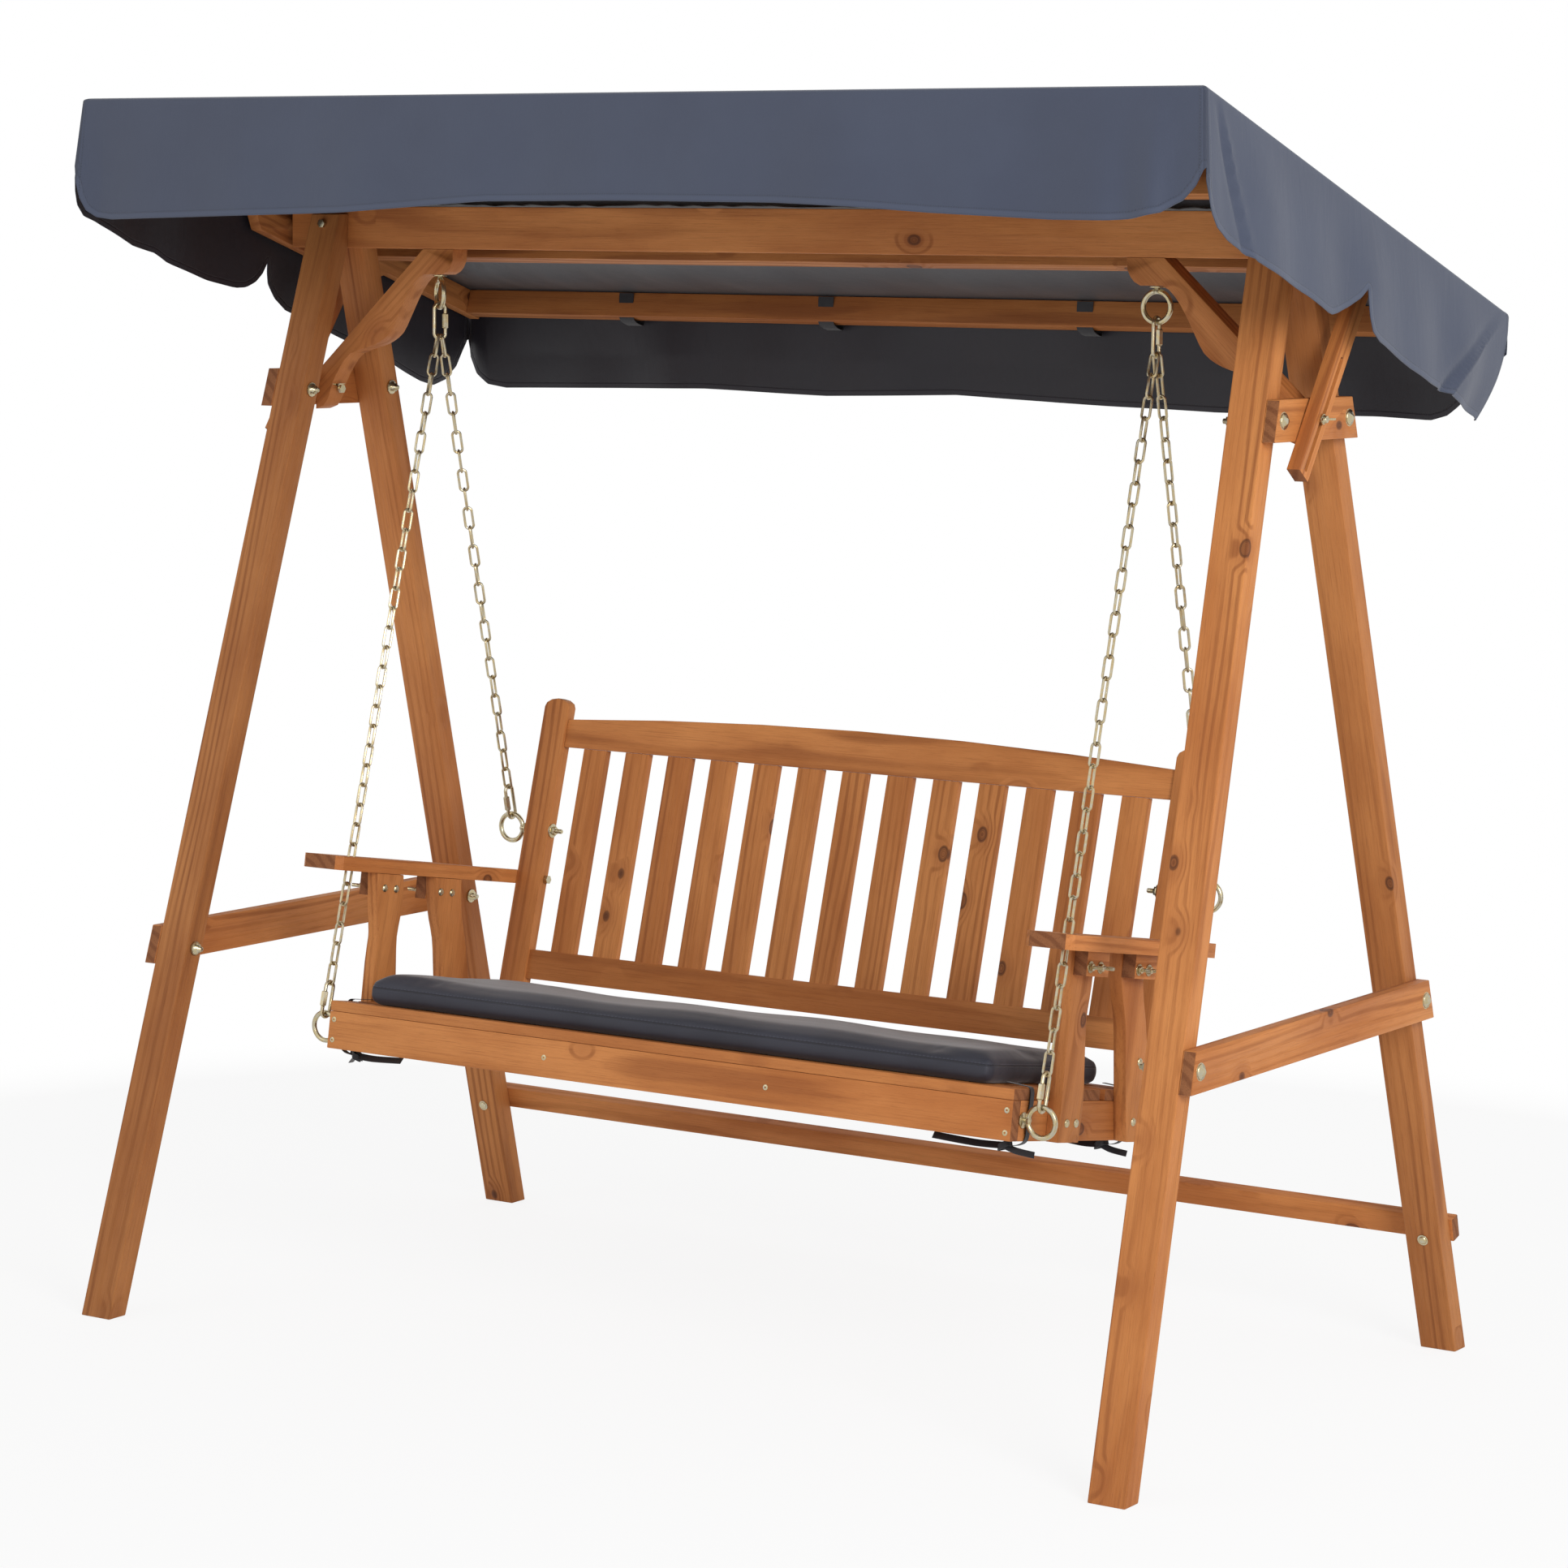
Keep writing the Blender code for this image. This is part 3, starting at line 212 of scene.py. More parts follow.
def pine(name, along, shift=0.0, tone=1.0):
    """Stained pine with its grain along a direction: figure, fine brushed grain and knots."""
    made, shader, at = new_material(name)
    along = Vector(along).normalized()
    grain_ways[name] = along
    side = along.cross(Vector((0.31, 0.55, 0.77))).normalized()
    a, b, c = at.dot(along) + shift, at.dot(side), at.dot(along.cross(side))

    def toned(colour):
        return [v * tone for v in colour]

    def streaks(lengthwise, crosswise):
        """Places in a board whose pattern is drawn out along the grain."""
        return (a * lengthwise).join(b * crosswise, c * crosswise)

    # knots sit far apart along the board and push the growth lines round them
    cells = streaks(10.5, 15.0)
    knot_node = cells.node("ShaderNodeTexVoronoi", {"feature": "F1"}, Vector=cells, Scale=1.0, Randomness=1.0)
    from_knot = Wire(at.tree, knot_node.outputs["Distance"])
    kept = Wire(at.tree, knot_node.outputs["Color"]).dot((0.6, 0.3, 0.1)).step(0.63, 0.64)
    knot = 1.0 - from_knot.step(0.125, 0.165)
    rim = knot * from_knot.step(0.085, 0.125) * kept
    knot = knot * kept
    halo = (1.0 - from_knot.step(0.13, 0.46)) * kept
    rings = (from_knot * 230.0).maths("SINE") * 0.5 + 0.5
    slow = streaks(1.1, 9.0).noise(1.0, 2.0, 0.5)
    growth = (b * 390.0 + c * 260.0 + slow * 26.0 + halo * 9.0).maths("SINE") * 0.5 + 0.5
    lines = growth.step(0.35, 1.0)
    fine = streaks(9.0, 420.0).noise(1.0, 3.0, 0.62)
    fibre = streaks(42.0, 1500.0).noise(1.0, 2.0, 0.6)
    patch = streaks(2.0, 7.0).noise(1.0, 4.0, 0.6)
    strong = streaks(0.9, 30.0).noise(1.0, 2.0, 0.5).step(0.38, 0.66)
    grain = (lines * strong * 0.75 + fine.step(0.48, 0.74) * 0.40).maths("MINIMUM", 1.0)
    body = patch.step(0.30, 0.72).blend(toned(stain_pale), toned(stain_warm))
    body = (grain * 0.72).blend(body, toned(late_wood))
    body = (fibre.step(0.55, 0.74) * 0.32).blend(body, toned(brushed_fibre))
    body = (halo * 0.38).blend(body, toned(knot_halo))
    body = (knot * (rings * 0.35 + 0.45)).blend(body, toned(knot_heart))
    body = (rim * 0.55).blend(body, toned(knot_rim))
    feed(shader, "Base Color", body)
    feed(shader, "Roughness", lines * 0.10 + fine * 0.16 + 0.50)
    constants(shader, {"Specular IOR Level": 0.28})
    bump(shader, growth * strong * 0.30 + fine * 0.5 + fibre * 0.4 + knot * 0.4, 0.0008, 0.8)
    return made


def end_grain():
    """Sawn ends: darker, with short growth arcs and open pores."""
    made, shader, at = new_material("pine_end_grain")
    arcs = (at.dot((210.0, 330.0, 250.0)) + at.noise(9.0, 2.0, 0.5) * 16.0).maths("SINE").step(-0.2, 0.9)
    pores = at.noise(520.0, 2.0, 0.7)
    body = (arcs * 0.6).blend((0.27, 0.105, 0.042), (0.150, 0.048, 0.018))
    feed(shader, "Base Color", (pores.step(0.5, 0.72) * 0.5).blend(body, (0.085, 0.027, 0.012)))
    feed(shader, "Roughness", pores * 0.2 + 0.62)
    constants(shader, {"Specular IOR Level": 0.2})
    bump(shader, pores + arcs * 0.3, 0.0008, 0.8)
    return made


def zinc(name, warm=1.0, rough=0.24):
    """Yellow-passivated zinc plate: soft colour drift and fine wear."""
    made, shader, at = new_material(name)
    drift = at.noise(160.0, 3.0, 0.6)
    wear = at.noise(900.0, 2.0, 0.6)
    tint = drift.step(0.35, 0.7).blend((0.52 * warm, 0.43, 0.24), (0.50, 0.47, 0.37))
    feed(shader, "Base Color", (wear.step(0.62, 0.75) * 0.5).blend(tint, (0.20, 0.17, 0.12)))
    feed(shader, "Roughness", drift * 0.2 + wear * 0.12 + (rough - 0.1))
    constants(shader, {"Metallic": 1.0})
    bump(shader, wear, 0.0001, 0.5)
    return made


bolt_plate = zinc("bolt_plate")
sawn_end = end_grain()


def in_hand(obj):
    """Leaves this object alone selected and active."""
    bpy.ops.object.select_all(action="DESELECT")
    obj.select_set(True)
    bpy.context.view_layer.objects.active = obj


def from_node(node, body, arris, look, second_test=None, second_look=None, name=None):
    """A copy of a sawn piece, its loose faces merged and its arrises eased, in its material. A test
    on places picks what has a second material: the bolts in a board, or a rail across its slats."""
    copy = bpy.data.objects[node].copy()
    copy.data = copy.data.copy()
    copy.name = name or "timber_" + node
    copy.animation_data_clear()
    bpy.context.scene.collection.objects.link(copy)
    bm = bmesh.new()
    bm.from_mesh(copy.data)
    bmesh.ops.remove_doubles(bm, verts=bm.verts, dist=0.00002)
    bmesh.ops.dissolve_limit(bm, angle_limit=math.radians(1.0), verts=bm.verts, edges=bm.edges)

    def on_bolt(edge):
        return second_look is bolt_plate and all(second_test(v.co) for v in edge.verts)

    sharp = [e for e in bm.edges if len(e.link_faces) == 2 and e.calc_face_angle(0) > math.radians(32)
             and e.calc_length() > arris * 4 and not on_bolt(e)]
    bmesh.ops.bevel(bm, geom=sharp, offset=arris, segments=2, profile=0.6, affect="EDGES", clamp_overlap=True)
    bmesh.ops.triangulate(bm, faces=[f for f in bm.faces if len(f.verts) > 4])
    bm.to_mesh(copy.data)
    bm.free()
    copy.data.materials.clear()
    copy.data.materials.append(look)
    if second_test:
        copy.data.materials.append(second_look)
        for face in copy.data.polygons:
            face.material_index = int(second_test(face.center))
    if look.name in grain_ways and node != "back_lattice":
        copy.data.materials.append(sawn_end)
        for face in copy.data.polygons:
            if face.material_index == 0 and abs(face.normal.dot(grain_ways[look.name])) > 0.93:
                face.material_index = len(copy.data.materials) - 1
    in_hand(copy)
    bpy.ops.object.shade_smooth_by_angle(angle=math.radians(28))
    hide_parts(node)
    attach(copy, body)


across = Vector((1, 0, 0))
both_ends = (("left", -1), ("right", 1))
leg_lean, leg_splay, apex_z = 0.0323, 0.293, 1.755
leg_tones = {"front_left": 0.74, "front_right": 1.0, "rear_left": 0.98, "rear_right": 0.84}
for word, side in both_ends:
    for where, rear in (("front", -1), ("rear", 1)):
        leg = where + "_" + word
        timber = pine("pine_leg_" + leg, (-side * leg_lean, -rear * leg_splay, 1.0), side * 1.7 + rear * 0.9,
                      leg_tones[leg])
        from_node("leg_" + leg, "stand", 0.0022, timber)
for node, name, shift, tone in (("top_beam", "beam", 0.4, 1.05), ("stretcher", "stretcher", 3.3, 1.1)):
    from_node(node, "stand", 0.0022, pine("pine_" + name, across, shift, tone),
              name="timber_" + name)

# Plates, rails and braces: short boards across the legs and curved braces under the beam,
# each held by zinc-plated bolts through the leg.
plate_face = 0.9053
for word, side in both_ends:
    for node, shift, thick in (("upper_plate_", 1.49, 0.0216), ("side_rail_", 0.587, 0.021)):
        def bolt_in_plate(point, side=side, thick=thick):
            out = side * point.x - leg_lean * (apex_z - point.z) - plate_face
            return out < -0.0001 or out > thick + 0.0001

        timber = pine("pine_" + node + word, (0, 1, 0), side * 0.8 + shift)
        from_node(node + word, "stand", 0.0015, timber, bolt_in_plate, bolt_plate)

    def bolt_in_brace(point, side=side):
        off_axis = math.hypot(point.y, point.z - 1.488 - leg_lean * (side * point.x - 0.9134))
        return off_axis < 0.0082 or side * point.x > 0.9165

    timber = pine("pine_brace_" + word, (side * 0.72, 0, -0.66), side * 2.0)
    from_node("brace_" + word, "stand", 0.0018, timber, bolt_in_brace, bolt_plate)
    for node in ("apex_bolt_", "wing_bolt_"):
        from_node(node + word, "stand", 0.0004, bolt_plate, name="zinc_" + node + word)

# The bench: planed pine in the same stain, a box of boards under six seat slats, with a raked
# back. It leans back by nine degrees. Pieces are glued and screwed, and each has its own board.
seat_front, seat_cos, seat_sin = Vector((0, -0.3355, 0.4417)), 0.98769, 0.15643
seat_deep, seat_up = Vector((0, seat_cos, -seat_sin)), Vector((0, seat_sin, seat_cos))


def seat(u, w, x=0.0):
    """A point at a depth and height of the leaning seat."""
    return Vector((x, 0, 0)) + seat_front + seat_deep * u + seat_up * w


rake = (seat_up + seat_deep * 0.1143).normalized()
boards = [("front_board", 1.05), ("rear_board", 0.95), ("top_back_rail", 1.06)]
boards += [("seat_slat_%d" % n, 0.96 + 0.02 * (n % 3)) for n in range(1, 7)]
for k, (node, tone) in enumerate(boards):
    timber = pine("pine_" + node, across, 0.73 * k + 0.2, tone)
    from_node(node, "bench", 0.0016, timber)
for word, side in both_ends:
    for node, along, shift in (("side_board_", seat_deep, 1.1), ("back_post_", rake, 2.3)):
        timber = pine("pine_" + node + word, along, shift + side * 0.6)
        from_node(node + word, "bench", 0.0018, timber)


# The back lattice: thirteen thin upright slats let into the lower rail, whose grain runs across.
def in_low_rail(point):
    return (point - seat_front).dot(seat_up) < 0.1785


from_node("back_lattice", "bench", 0.0011, pine("pine_back_slats", rake, 0.5, 1.02),
          in_low_rail, pine("pine_low_rail", across, 4.4))

# The armrests: sawn boards with clipped front corners and a narrow tail bolted to the post. Each
# stands on two sawn, curved supports and carries two cleats below.
tail_bolt = seat(0.4808, 0.29775)
post_inside, post_outside = 0.6343, 0.66805
for word, side in both_ends:
    def bolt_in_arm(point, side=side):
        off_axis = math.hypot(*(point - tail_bolt).yz)
        return off_axis < 0.0086 and not post_inside <= side * point.x <= post_outside

    timber = pine("pine_armrest_" + word, seat_deep, 3.1 + side * 0.9, 1.1)
    from_node("armrest_" + word, "bench", 0.0016, timber, bolt_in_arm, bolt_plate)
    for node, lean in (("arm_support_front_", 0.12), ("arm_support_rear_", 0.02)):
        timber = pine("pine_" + node + word, seat_up + seat_deep * lean, 1.9 * side + lean * 9)
        from_node(node + word, "bench", 0.0014, timber)


# Small fasteners: zinc-plated carriage bolts, nuts with washers and thread ends, and countersunk
# screws. Each kind is turned once on its own axis and then copied to its places.
def lathe(profile, steps):
    """A turned model standing on the origin along Z, from radius and height of its outline."""
    mesh = bpy.data.meshes.new("model")
    mesh.from_pydata([(r, 0, z) for r, z in profile], [(k, k + 1) for k in range(len(profile) - 1)], [])
    made = bpy.data.objects.new("model", mesh)
    bpy.context.scene.collection.objects.link(made)
    in_hand(made)
    bpy.ops.object.mode_set(mode="EDIT")
    bpy.ops.mesh.select_all(action="SELECT")
    bpy.ops.mesh.spin(steps=steps, angle=math.tau, center=(0, 0, 0), axis=(0, 0, 1))
    bpy.ops.mesh.select_all(action="SELECT")
    bpy.ops.mesh.remove_doubles(threshold=0.000001)
    bpy.ops.mesh.normals_make_consistent(inside=False)
    bpy.ops.object.mode_set(mode="OBJECT")
    return made


def flat_round(radius, rim, ease, height, steps):
    """A washer, or a nut where the steps are six: a disc with its two edges eased."""
    return lathe([(0, 0), (radius, 0), (rim, ease), (rim, height - ease), (radius, height), (0, height)], steps)


def thread(radius, high, pitch, steps):
    """A bolt's end: a screw thread's ridges, ending in a chamfered tip."""
    points = [(0, 0), (radius, 0)]
    for k in range(int(high / pitch) - 1):
        z = pitch * k
        points += [(radius, z + pitch * 0.2), (radius * 0.86, z + pitch * 0.5), (radius, z + pitch * 0.9)]
    return lathe(points + [(radius * 0.8, high), (0, high)], steps)


def at_place(origin, along, turn=0.0):
    """A place for a model whose own axis is Z."""
    along = Vector(along).normalized()
    return (Matrix.Translation(origin) @ along.to_track_quat("Z", "Y").to_matrix().to_4x4()
            @ Matrix.Rotation(turn, 4, "Z"))


def made_of(bm, name, *looks):
    """An object of this mesh in its materials, alone selected and active."""
    mesh = bpy.data.meshes.new(name)
    bm.to_mesh(mesh)
    bm.free()
    for look in looks:
        mesh.materials.append(look)
    made = bpy.data.objects.new(name, mesh)
    bpy.context.scene.collection.objects.link(made)
    in_hand(made)
    return made


def gather(name, parts, look, body, slot, *nodes):
    """Copies of models, each at its place, as one finished piece."""
    bm = bmesh.new()
    for model, place in parts:
        mesh = model.data.copy()
        mesh.transform(place)
        bm.from_mesh(mesh)
        bpy.data.meshes.remove(mesh)
    made = made_of(bm, name, look)
    bpy.ops.object.shade_smooth_by_angle(angle=math.radians(38))
    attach(made, body)
    if nodes:
        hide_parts(*nodes)


dome = lathe([(0.0066, 0), (0.0066, 0.0004), (0.0063, 0.0011), (0.0052, 0.0023), (0.0034, 0.0031),
              (0.0015, 0.0035), (0, 0.0036)], 20)
washer_thick, nut_thick = 0.0013, 0.0049
washer = flat_round(0.0088, 0.009, 0.0002, washer_thick, 24)
nut = flat_round(0.0050, 0.0058, 0.0005, nut_thick, 6)
bolt_end = thread(0.003, 0.018, 0.001, 14)
screw = lathe([(0.0044, 0), (0.0044, 0.0002), (0.0038, 0.0006), (0.0016, 0.0006), (0.0012, -0.0008),
               (0, -0.0009)], 16)
support_face, cleat_inside, cleat_outside, cleat_w = 0.6580, 0.6362, 0.6805, 0.2625
for word, side in both_ends:
    outwards = across * side
    parts = [(dome, at_place(seat(u, w, side * support_face), outwards))
             for u, w in ((0.1253, 0.029), (0.1537, 0.029), (0.332, 0.0305), (0.363, 0.0305), (0.335, 0.1216))]
    for k, u in enumerate((0.111, 0.141, 0.262, 0.293)):
        outside = seat(u, cleat_w, side * cleat_outside)
        parts += [(dome, at_place(seat(u, cleat_w, side * cleat_inside), -outwards)),
                  (washer, at_place(outside, outwards)),
                  (nut, at_place(outside + outwards * washer_thick, outwards, k * 0.7)),
                  (bolt_end, at_place(outside + outwards * 0.0058, outwards))]
    gather("support_bolts_" + word, parts, bolt_plate, "bench", "bolt_zinc")
board_screws = [(screw, at_place(seat(-0.0001, w, x), -seat_deep))
                for x, w in ((-0.6265, 0.0468), (-0.6265, 0.0139), (-0.2068, 0.0309), (0.2068, 0.0309),
                             (0.6265, 0.0449), (0.6265, 0.0117))]
gather("board_screws", board_screws, bolt_plate, "bench", "bolt_zinc")
leg_bolts = []
leg_front = Vector((0, -1, -leg_splay)).normalized()
for word, side in both_ends:
    face = Vector((side * 0.9257, 0.4678, 0.187))
    leg_bolts += [(washer, at_place(face, leg_front)), (dome, at_place(face + leg_front * 0.0012, leg_front))]
gather("stretcher_bolts", leg_bolts, bolt_plate, "stand", "bolt_zinc")

# The rings that carry the bench: screw eyes up through the braces, and ring bolts through the
# side boards and posts, all of 8 mm zinc-plated wire with washers and nuts.
ring_radius, chain_x, swing_z, up = 0.023, 0.668, 1.6247225, Vector((0, 0, 1))
bpy.ops.object.select_all(action="DESELECT")
bpy.ops.mesh.primitive_torus_add(major_radius=ring_radius, minor_radius=0.004, major_segments=40,
                                 minor_segments=12)
ring = bpy.context.object
ring.data.transform(Matrix.Rotation(math.pi / 2, 4, "X"))
long_shank, short_shank = (lathe([(0, -0.004), (0.0055, -0.003), (0.0056, 0.0), (0.0046, 0.003), (0.004, 0.006),
                                  (0.004, reach), (0, reach)], 16) for reach in (0.06, 0.026))
big_washer_thick = 0.0019
big_washer = flat_round(0.0115, 0.0118, 0.0002, big_washer_thick, 28)
big_nut = flat_round(0.0066, 0.0075, 0.0006, 0.0064, 6)
big_end = thread(0.004, 0.0125, 0.00125, 16)
# the left eye was screwed up a little past square, and its links hang turned with it
eye_turn = {"left": math.radians(-36), "right": 0.0}
ring_seats = {"front": (0.0318, 0.0315), "rear": (0.48625, 0.381)}
for word, side in both_ends:
    outwards = across * side
    centre = Vector((side * chain_x, 0, swing_z + ring_radius))
    gather("screw_eye_" + word, [(ring, Matrix.Translation(centre) @ Matrix.Rotation(eye_turn[word], 4, "Z")),
                                 (short_shank, at_place(centre + up * ring_radius, up)),
                                 (big_washer, at_place(centre + up * 0.0282, up))],
           bolt_plate, "stand", "bolt_zinc", "hanging_eye_" + word)
    for where, shank, face, deep in (("front", short_shank, 0.636, 0.022), ("rear", long_shank, 0.634, 0.050)):
        axis = seat(*ring_seats[where])
        inside = axis + outwards * (face - deep - 0.0006)
        gather("ring_bolt_%s_%s_zinc" % (where, word),
               [(ring, Matrix.Translation(axis + outwards * chain_x)),
                (shank, at_place(axis + outwards * (chain_x - ring_radius), -outwards)),
                (big_washer, at_place(axis + outwards * (face + 0.0003), outwards)),
                (big_washer, at_place(inside, -outwards)),
                (big_nut, at_place(inside - outwards * big_washer_thick, -outwards, 0.3)),
                (big_end, at_place(inside - outwards * 0.0080, -outwards))],
               bolt_plate, "bench", "bolt_zinc", "ring_bolt_%s_%s" % (where, word))


# The chains: welded zinc-plated links of 4 mm wire, each turned a quarter to the last. They hang
# from a quick link in the screw eye and end in a quick link in the ring of each ring bolt.
def link_model(long, wide, wire, around, sides):
    """A link in the X and Z plane: a wire ring whose two halves are moved apart."""
    bpy.ops.object.select_all(action="DESELECT")
    bpy.ops.mesh.primitive_torus_add(major_radius=(wide - wire) / 2, minor_radius=wire / 2,
                                     major_segments=around, minor_segments=sides)
    made = bpy.context.object
    made.data.transform(Matrix.Rotation(math.pi / 2, 4, "X") @ Matrix.Rotation(math.pi / around, 4, "Z"))
    for way in (-1, 1):
        for vert in made.data.vertices:
            vert.select = way * vert.co.z > 0
        for kind in (made.data.edges, made.data.polygons):
            for item in kind:
                item.select = all(made.data.vertices[v].select for v in item.vertices)
        bpy.ops.object.mode_set(mode="EDIT")
        bpy.ops.transform.translate(value=(0, 0, way * (long - wide) / 2))
        bpy.ops.object.mode_set(mode="OBJECT")
    return made


def link_place(centre, along, broadside):
    """A place for a link, by the directions of its length and width."""
    turned = Matrix((broadside, along.cross(broadside), along)).transposed().to_4x4()
    return Matrix.Translation(centre) @ turned


chain_plate = zinc("chain_plate", 1.04, 0.26)
quick_link = link_model(0.064, 0.025, 0.006, 24, 10)
quick_side = 0.0095
sleeve = lathe([(0, -0.0135), (0.0034, -0.0135), (0.0036, -0.012), (0.0042, -0.0118), (0.0055, -0.0108),
                (0.0055, 0.0108), (0.0042, 0.012), (0, 0.012)], 6)


def quick(centre, along, broadside):
    """A quick link and the sleeve nut on one of its sides."""
    return [(quick_link, link_place(centre, along, broadside)),
            (sleeve, at_place(centre + broadside * quick_side, along))]


for word, side in both_ends:
    eye_way = Matrix.Rotation(eye_turn[word], 3, "Z") @ Vector((0, 1, 0))
    gather("quick_link_" + word, quick(Vector((side * chain_x, 0, 1.6030)), up, eye_way), chain_plate, "bench",
           "chain_zinc", "top_link_" + word)
    for where, beside, count in (("front", -0.0030, 33), ("rear", 0.0030, 24)):
        top = Vector((side * chain_x, 0, 1.57993)) + eye_way * beside
        bottom = seat(*ring_seats[where], side * chain_x) + up * ring_radius
        down = (bottom - top).normalized()
        pitch = ((bottom - top).length - 0.0498) / count
        long = pitch + 0.0081
        link = link_model(long, 0.018, 0.0043, 18, 8)
        # each link is turned a quarter to the last, and the lowest quick link meets its ring
        quarter = math.pi / 2 + (0 if count % 2 else math.pi / 2 / count)
        parts = []
        for k in range(count + 1):
            turn = quarter * k - (eye_turn[word] * (1 - k / count))
            broadside = (Matrix.Rotation(turn, 3, down) @ across).normalized()
            if k < count:
                middle = top + down * (k * pitch + (long - 0.0042) / 2)
                parts.append((link, link_place(middle, -down, broadside)))
            else:
                parts += quick(top + down * ((count - 1) * pitch + long + 0.0200), -down, broadside)
        name = "chain_%s_%s" % (where, word)
        gather(name + "_links", parts, chain_plate, "bench", "chain_zinc", name)
        bpy.data.objects.remove(link)
for model in (dome, washer, nut, bolt_end, screw, ring, long_shank, short_shank, big_washer, big_nut, big_end,
              quick_link, sleeve):
    bpy.data.objects.remove(model)


# The seat cushion: a thin foam pad in a sewn case of navy polyester, its top rolled over the
# front edge to a seam, with an end panel at each side. It is swollen by its own filling.
seam_up, seam_end = 0.1045, 0.587


def case_seams(at):
    """Seam lines round the front, back and ends of the case, and the stitches above them."""
    high = at.dot(seat_up) - seat_front.dot(seat_up)
    end = at.dot(across).maths("ABSOLUTE")
    round_case = high.line(seam_up, 0.0004, 0.0016)
    at_end = end.line(seam_end, 0.0004, 0.0016) * (1.0 - (high - seam_up).step(0, 0.001))
    dashes = (at.dot(across) * 900.0).maths("SINE").step(-0.2, 0.3)
    return round_case.maths("MAXIMUM", at_end), high.line(seam_up + 0.0023, 0.0003, 0.0007) * dashes


def polyester(name, tone, deep, seams=None):
    """Plain-woven polyester: a fine weave, cloudy wear and soft creases."""
    made, shader, at = new_material(name)
    warp = (at.dot(across) * 5200.0).maths("SINE")
    weft = (at.dot((0, 0.7, 0.72)) * 5200.0).maths("SINE")
    cloud = at.noise(9.0, 4.0, 0.6)
    speck = at.noise(520.0, 2.0, 0.7)
    crease = (at.dot(across) * 5.0).join(at.dot((0, 1, 0)) * 26.0, at.dot(up) * 26.0).noise(1.0, 4.0, 0.55)
    body = (cloud.step(0.25, 0.75) * 0.7 + speck * 0.3).blend(deep, tone)
    height = (warp * weft * 0.5 + speck) * 0.06 + crease * 1.2 + cloud * 0.4
    if seams:
        groove_and_painted_shade, stitch = seams(at)
        # painted shade: the seam groove is dented and also painted darker, as the shade that falls in it
        body = (groove_and_painted_shade * 0.6).blend(body, [v * 0.4 for v in deep])
        body = (stitch * 0.6).blend(body, [v * 1.9 for v in tone])
        height = height - groove_and_painted_shade * 1.1 + stitch * 0.35
    feed(shader, "Base Color", body)
    feed(shader, "Roughness", crease * 0.25 + speck * 0.1 + 0.42)
    constants(shader, {"Specular IOR Level": 0.45, "Sheen Weight": 0.25, "Sheen Roughness": 0.4})
    bump(shader, height, 0.0012, 0.8)
    return made


def held_in(value, low, high):
    return max(low, min(high, value))


bpy.ops.object.select_all(action="DESELECT")
bpy.ops.mesh.primitive_cube_add(size=1)
pad = bpy.context.object
pad.name = "seat_cushion_case"
pad.data.transform(Matrix.Translation((0, 0.190, 0.0975)) @ Matrix.Diagonal((1.176, 0.356, 0.036, 1)))
bpy.ops.object.mode_set(mode="EDIT")
bpy.ops.mesh.select_all(action="SELECT")
bpy.ops.mesh.bevel(offset=0.012, segments=3)
bpy.ops.object.mode_set(mode="OBJECT")
remesh = pad.modifiers.new("remesh", "REMESH")
remesh.mode = "VOXEL"
remesh.voxel_size = 0.007
bpy.ops.object.modifier_apply(modifier="remesh")
unfilled = [v.co.copy() for v in pad.data.vertices]
last_frame, most_swell = 20, 0.012
cloth = pad.modifiers.new("cloth", "CLOTH")
cloth.settings.use_pressure = True
cloth.settings.uniform_pressure_force = 4.0
cloth.settings.effector_weights.gravity = 0.0
cloth.point_cache.frame_start, cloth.point_cache.frame_end = 1, last_frame
for step in range(1, last_frame + 1):
    bpy.context.scene.frame_set(step)
bpy.ops.object.modifier_apply(modifier="cloth")
bpy.context.scene.frame_set(1)
for vert, start in zip(pad.data.vertices, unfilled):
    move = vert.co - start
    if move.length > most_swell:
        move *= most_swell / move.length
    x, y, z = start + move
    # sat-on slackness: the top dips and rises gently along the bench
    z += held_in((z - 0.095) / 0.03, 0.0, 1.0) * (0.0018 * math.sin(x * 9.0 + 0.6)
                                                 + 0.0012 * math.sin(x * 23.0 + y * 17.0))
    vert.co = (held_in(x, -0.603, 0.603), held_in(y, -0.001, 0.381), held_in(z, 0.0775, 0.139))
pad.data.transform(Matrix.Translation(seat_front) @ Matrix((across, seat_deep, seat_up)).transposed().to_4x4())
rounding = pad.modifiers.new("round", "SUBSURF")
rounding.levels = rounding.render_levels = 1
in_hand(pad)
bpy.ops.object.modifier_apply(modifier="round")
bpy.ops.object.shade_smooth()
pad.data.materials.append(polyester("cushion_cloth", (0.026, 0.027, 0.041), (0.015, 0.0155, 0.025), case_seams))
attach(pad, "bench")
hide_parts("seat_cushion")


# The cushion's tie tapes: flat black polyester tape sewn to the corners, led down outside the
# side boards and tied in a knot under the seat.
def smooth_path(points, fineness=6):
    """More points along a smooth curve through these."""
    fine = []
    for i in range(len(points) - 1):
        a, b, c, d = (points[held_in(i + k, 0, len(points) - 1)] for k in (-1, 0, 1, 2))
        for s in range(fineness):
            t = s / fineness
            fine.append(0.5 * (2 * b + (c - a) * t + (2 * a - 5 * b + 4 * c - d) * t * t
                               + (3 * b - a - 3 * c + d) * t ** 3))
    return fine + [points[-1]]


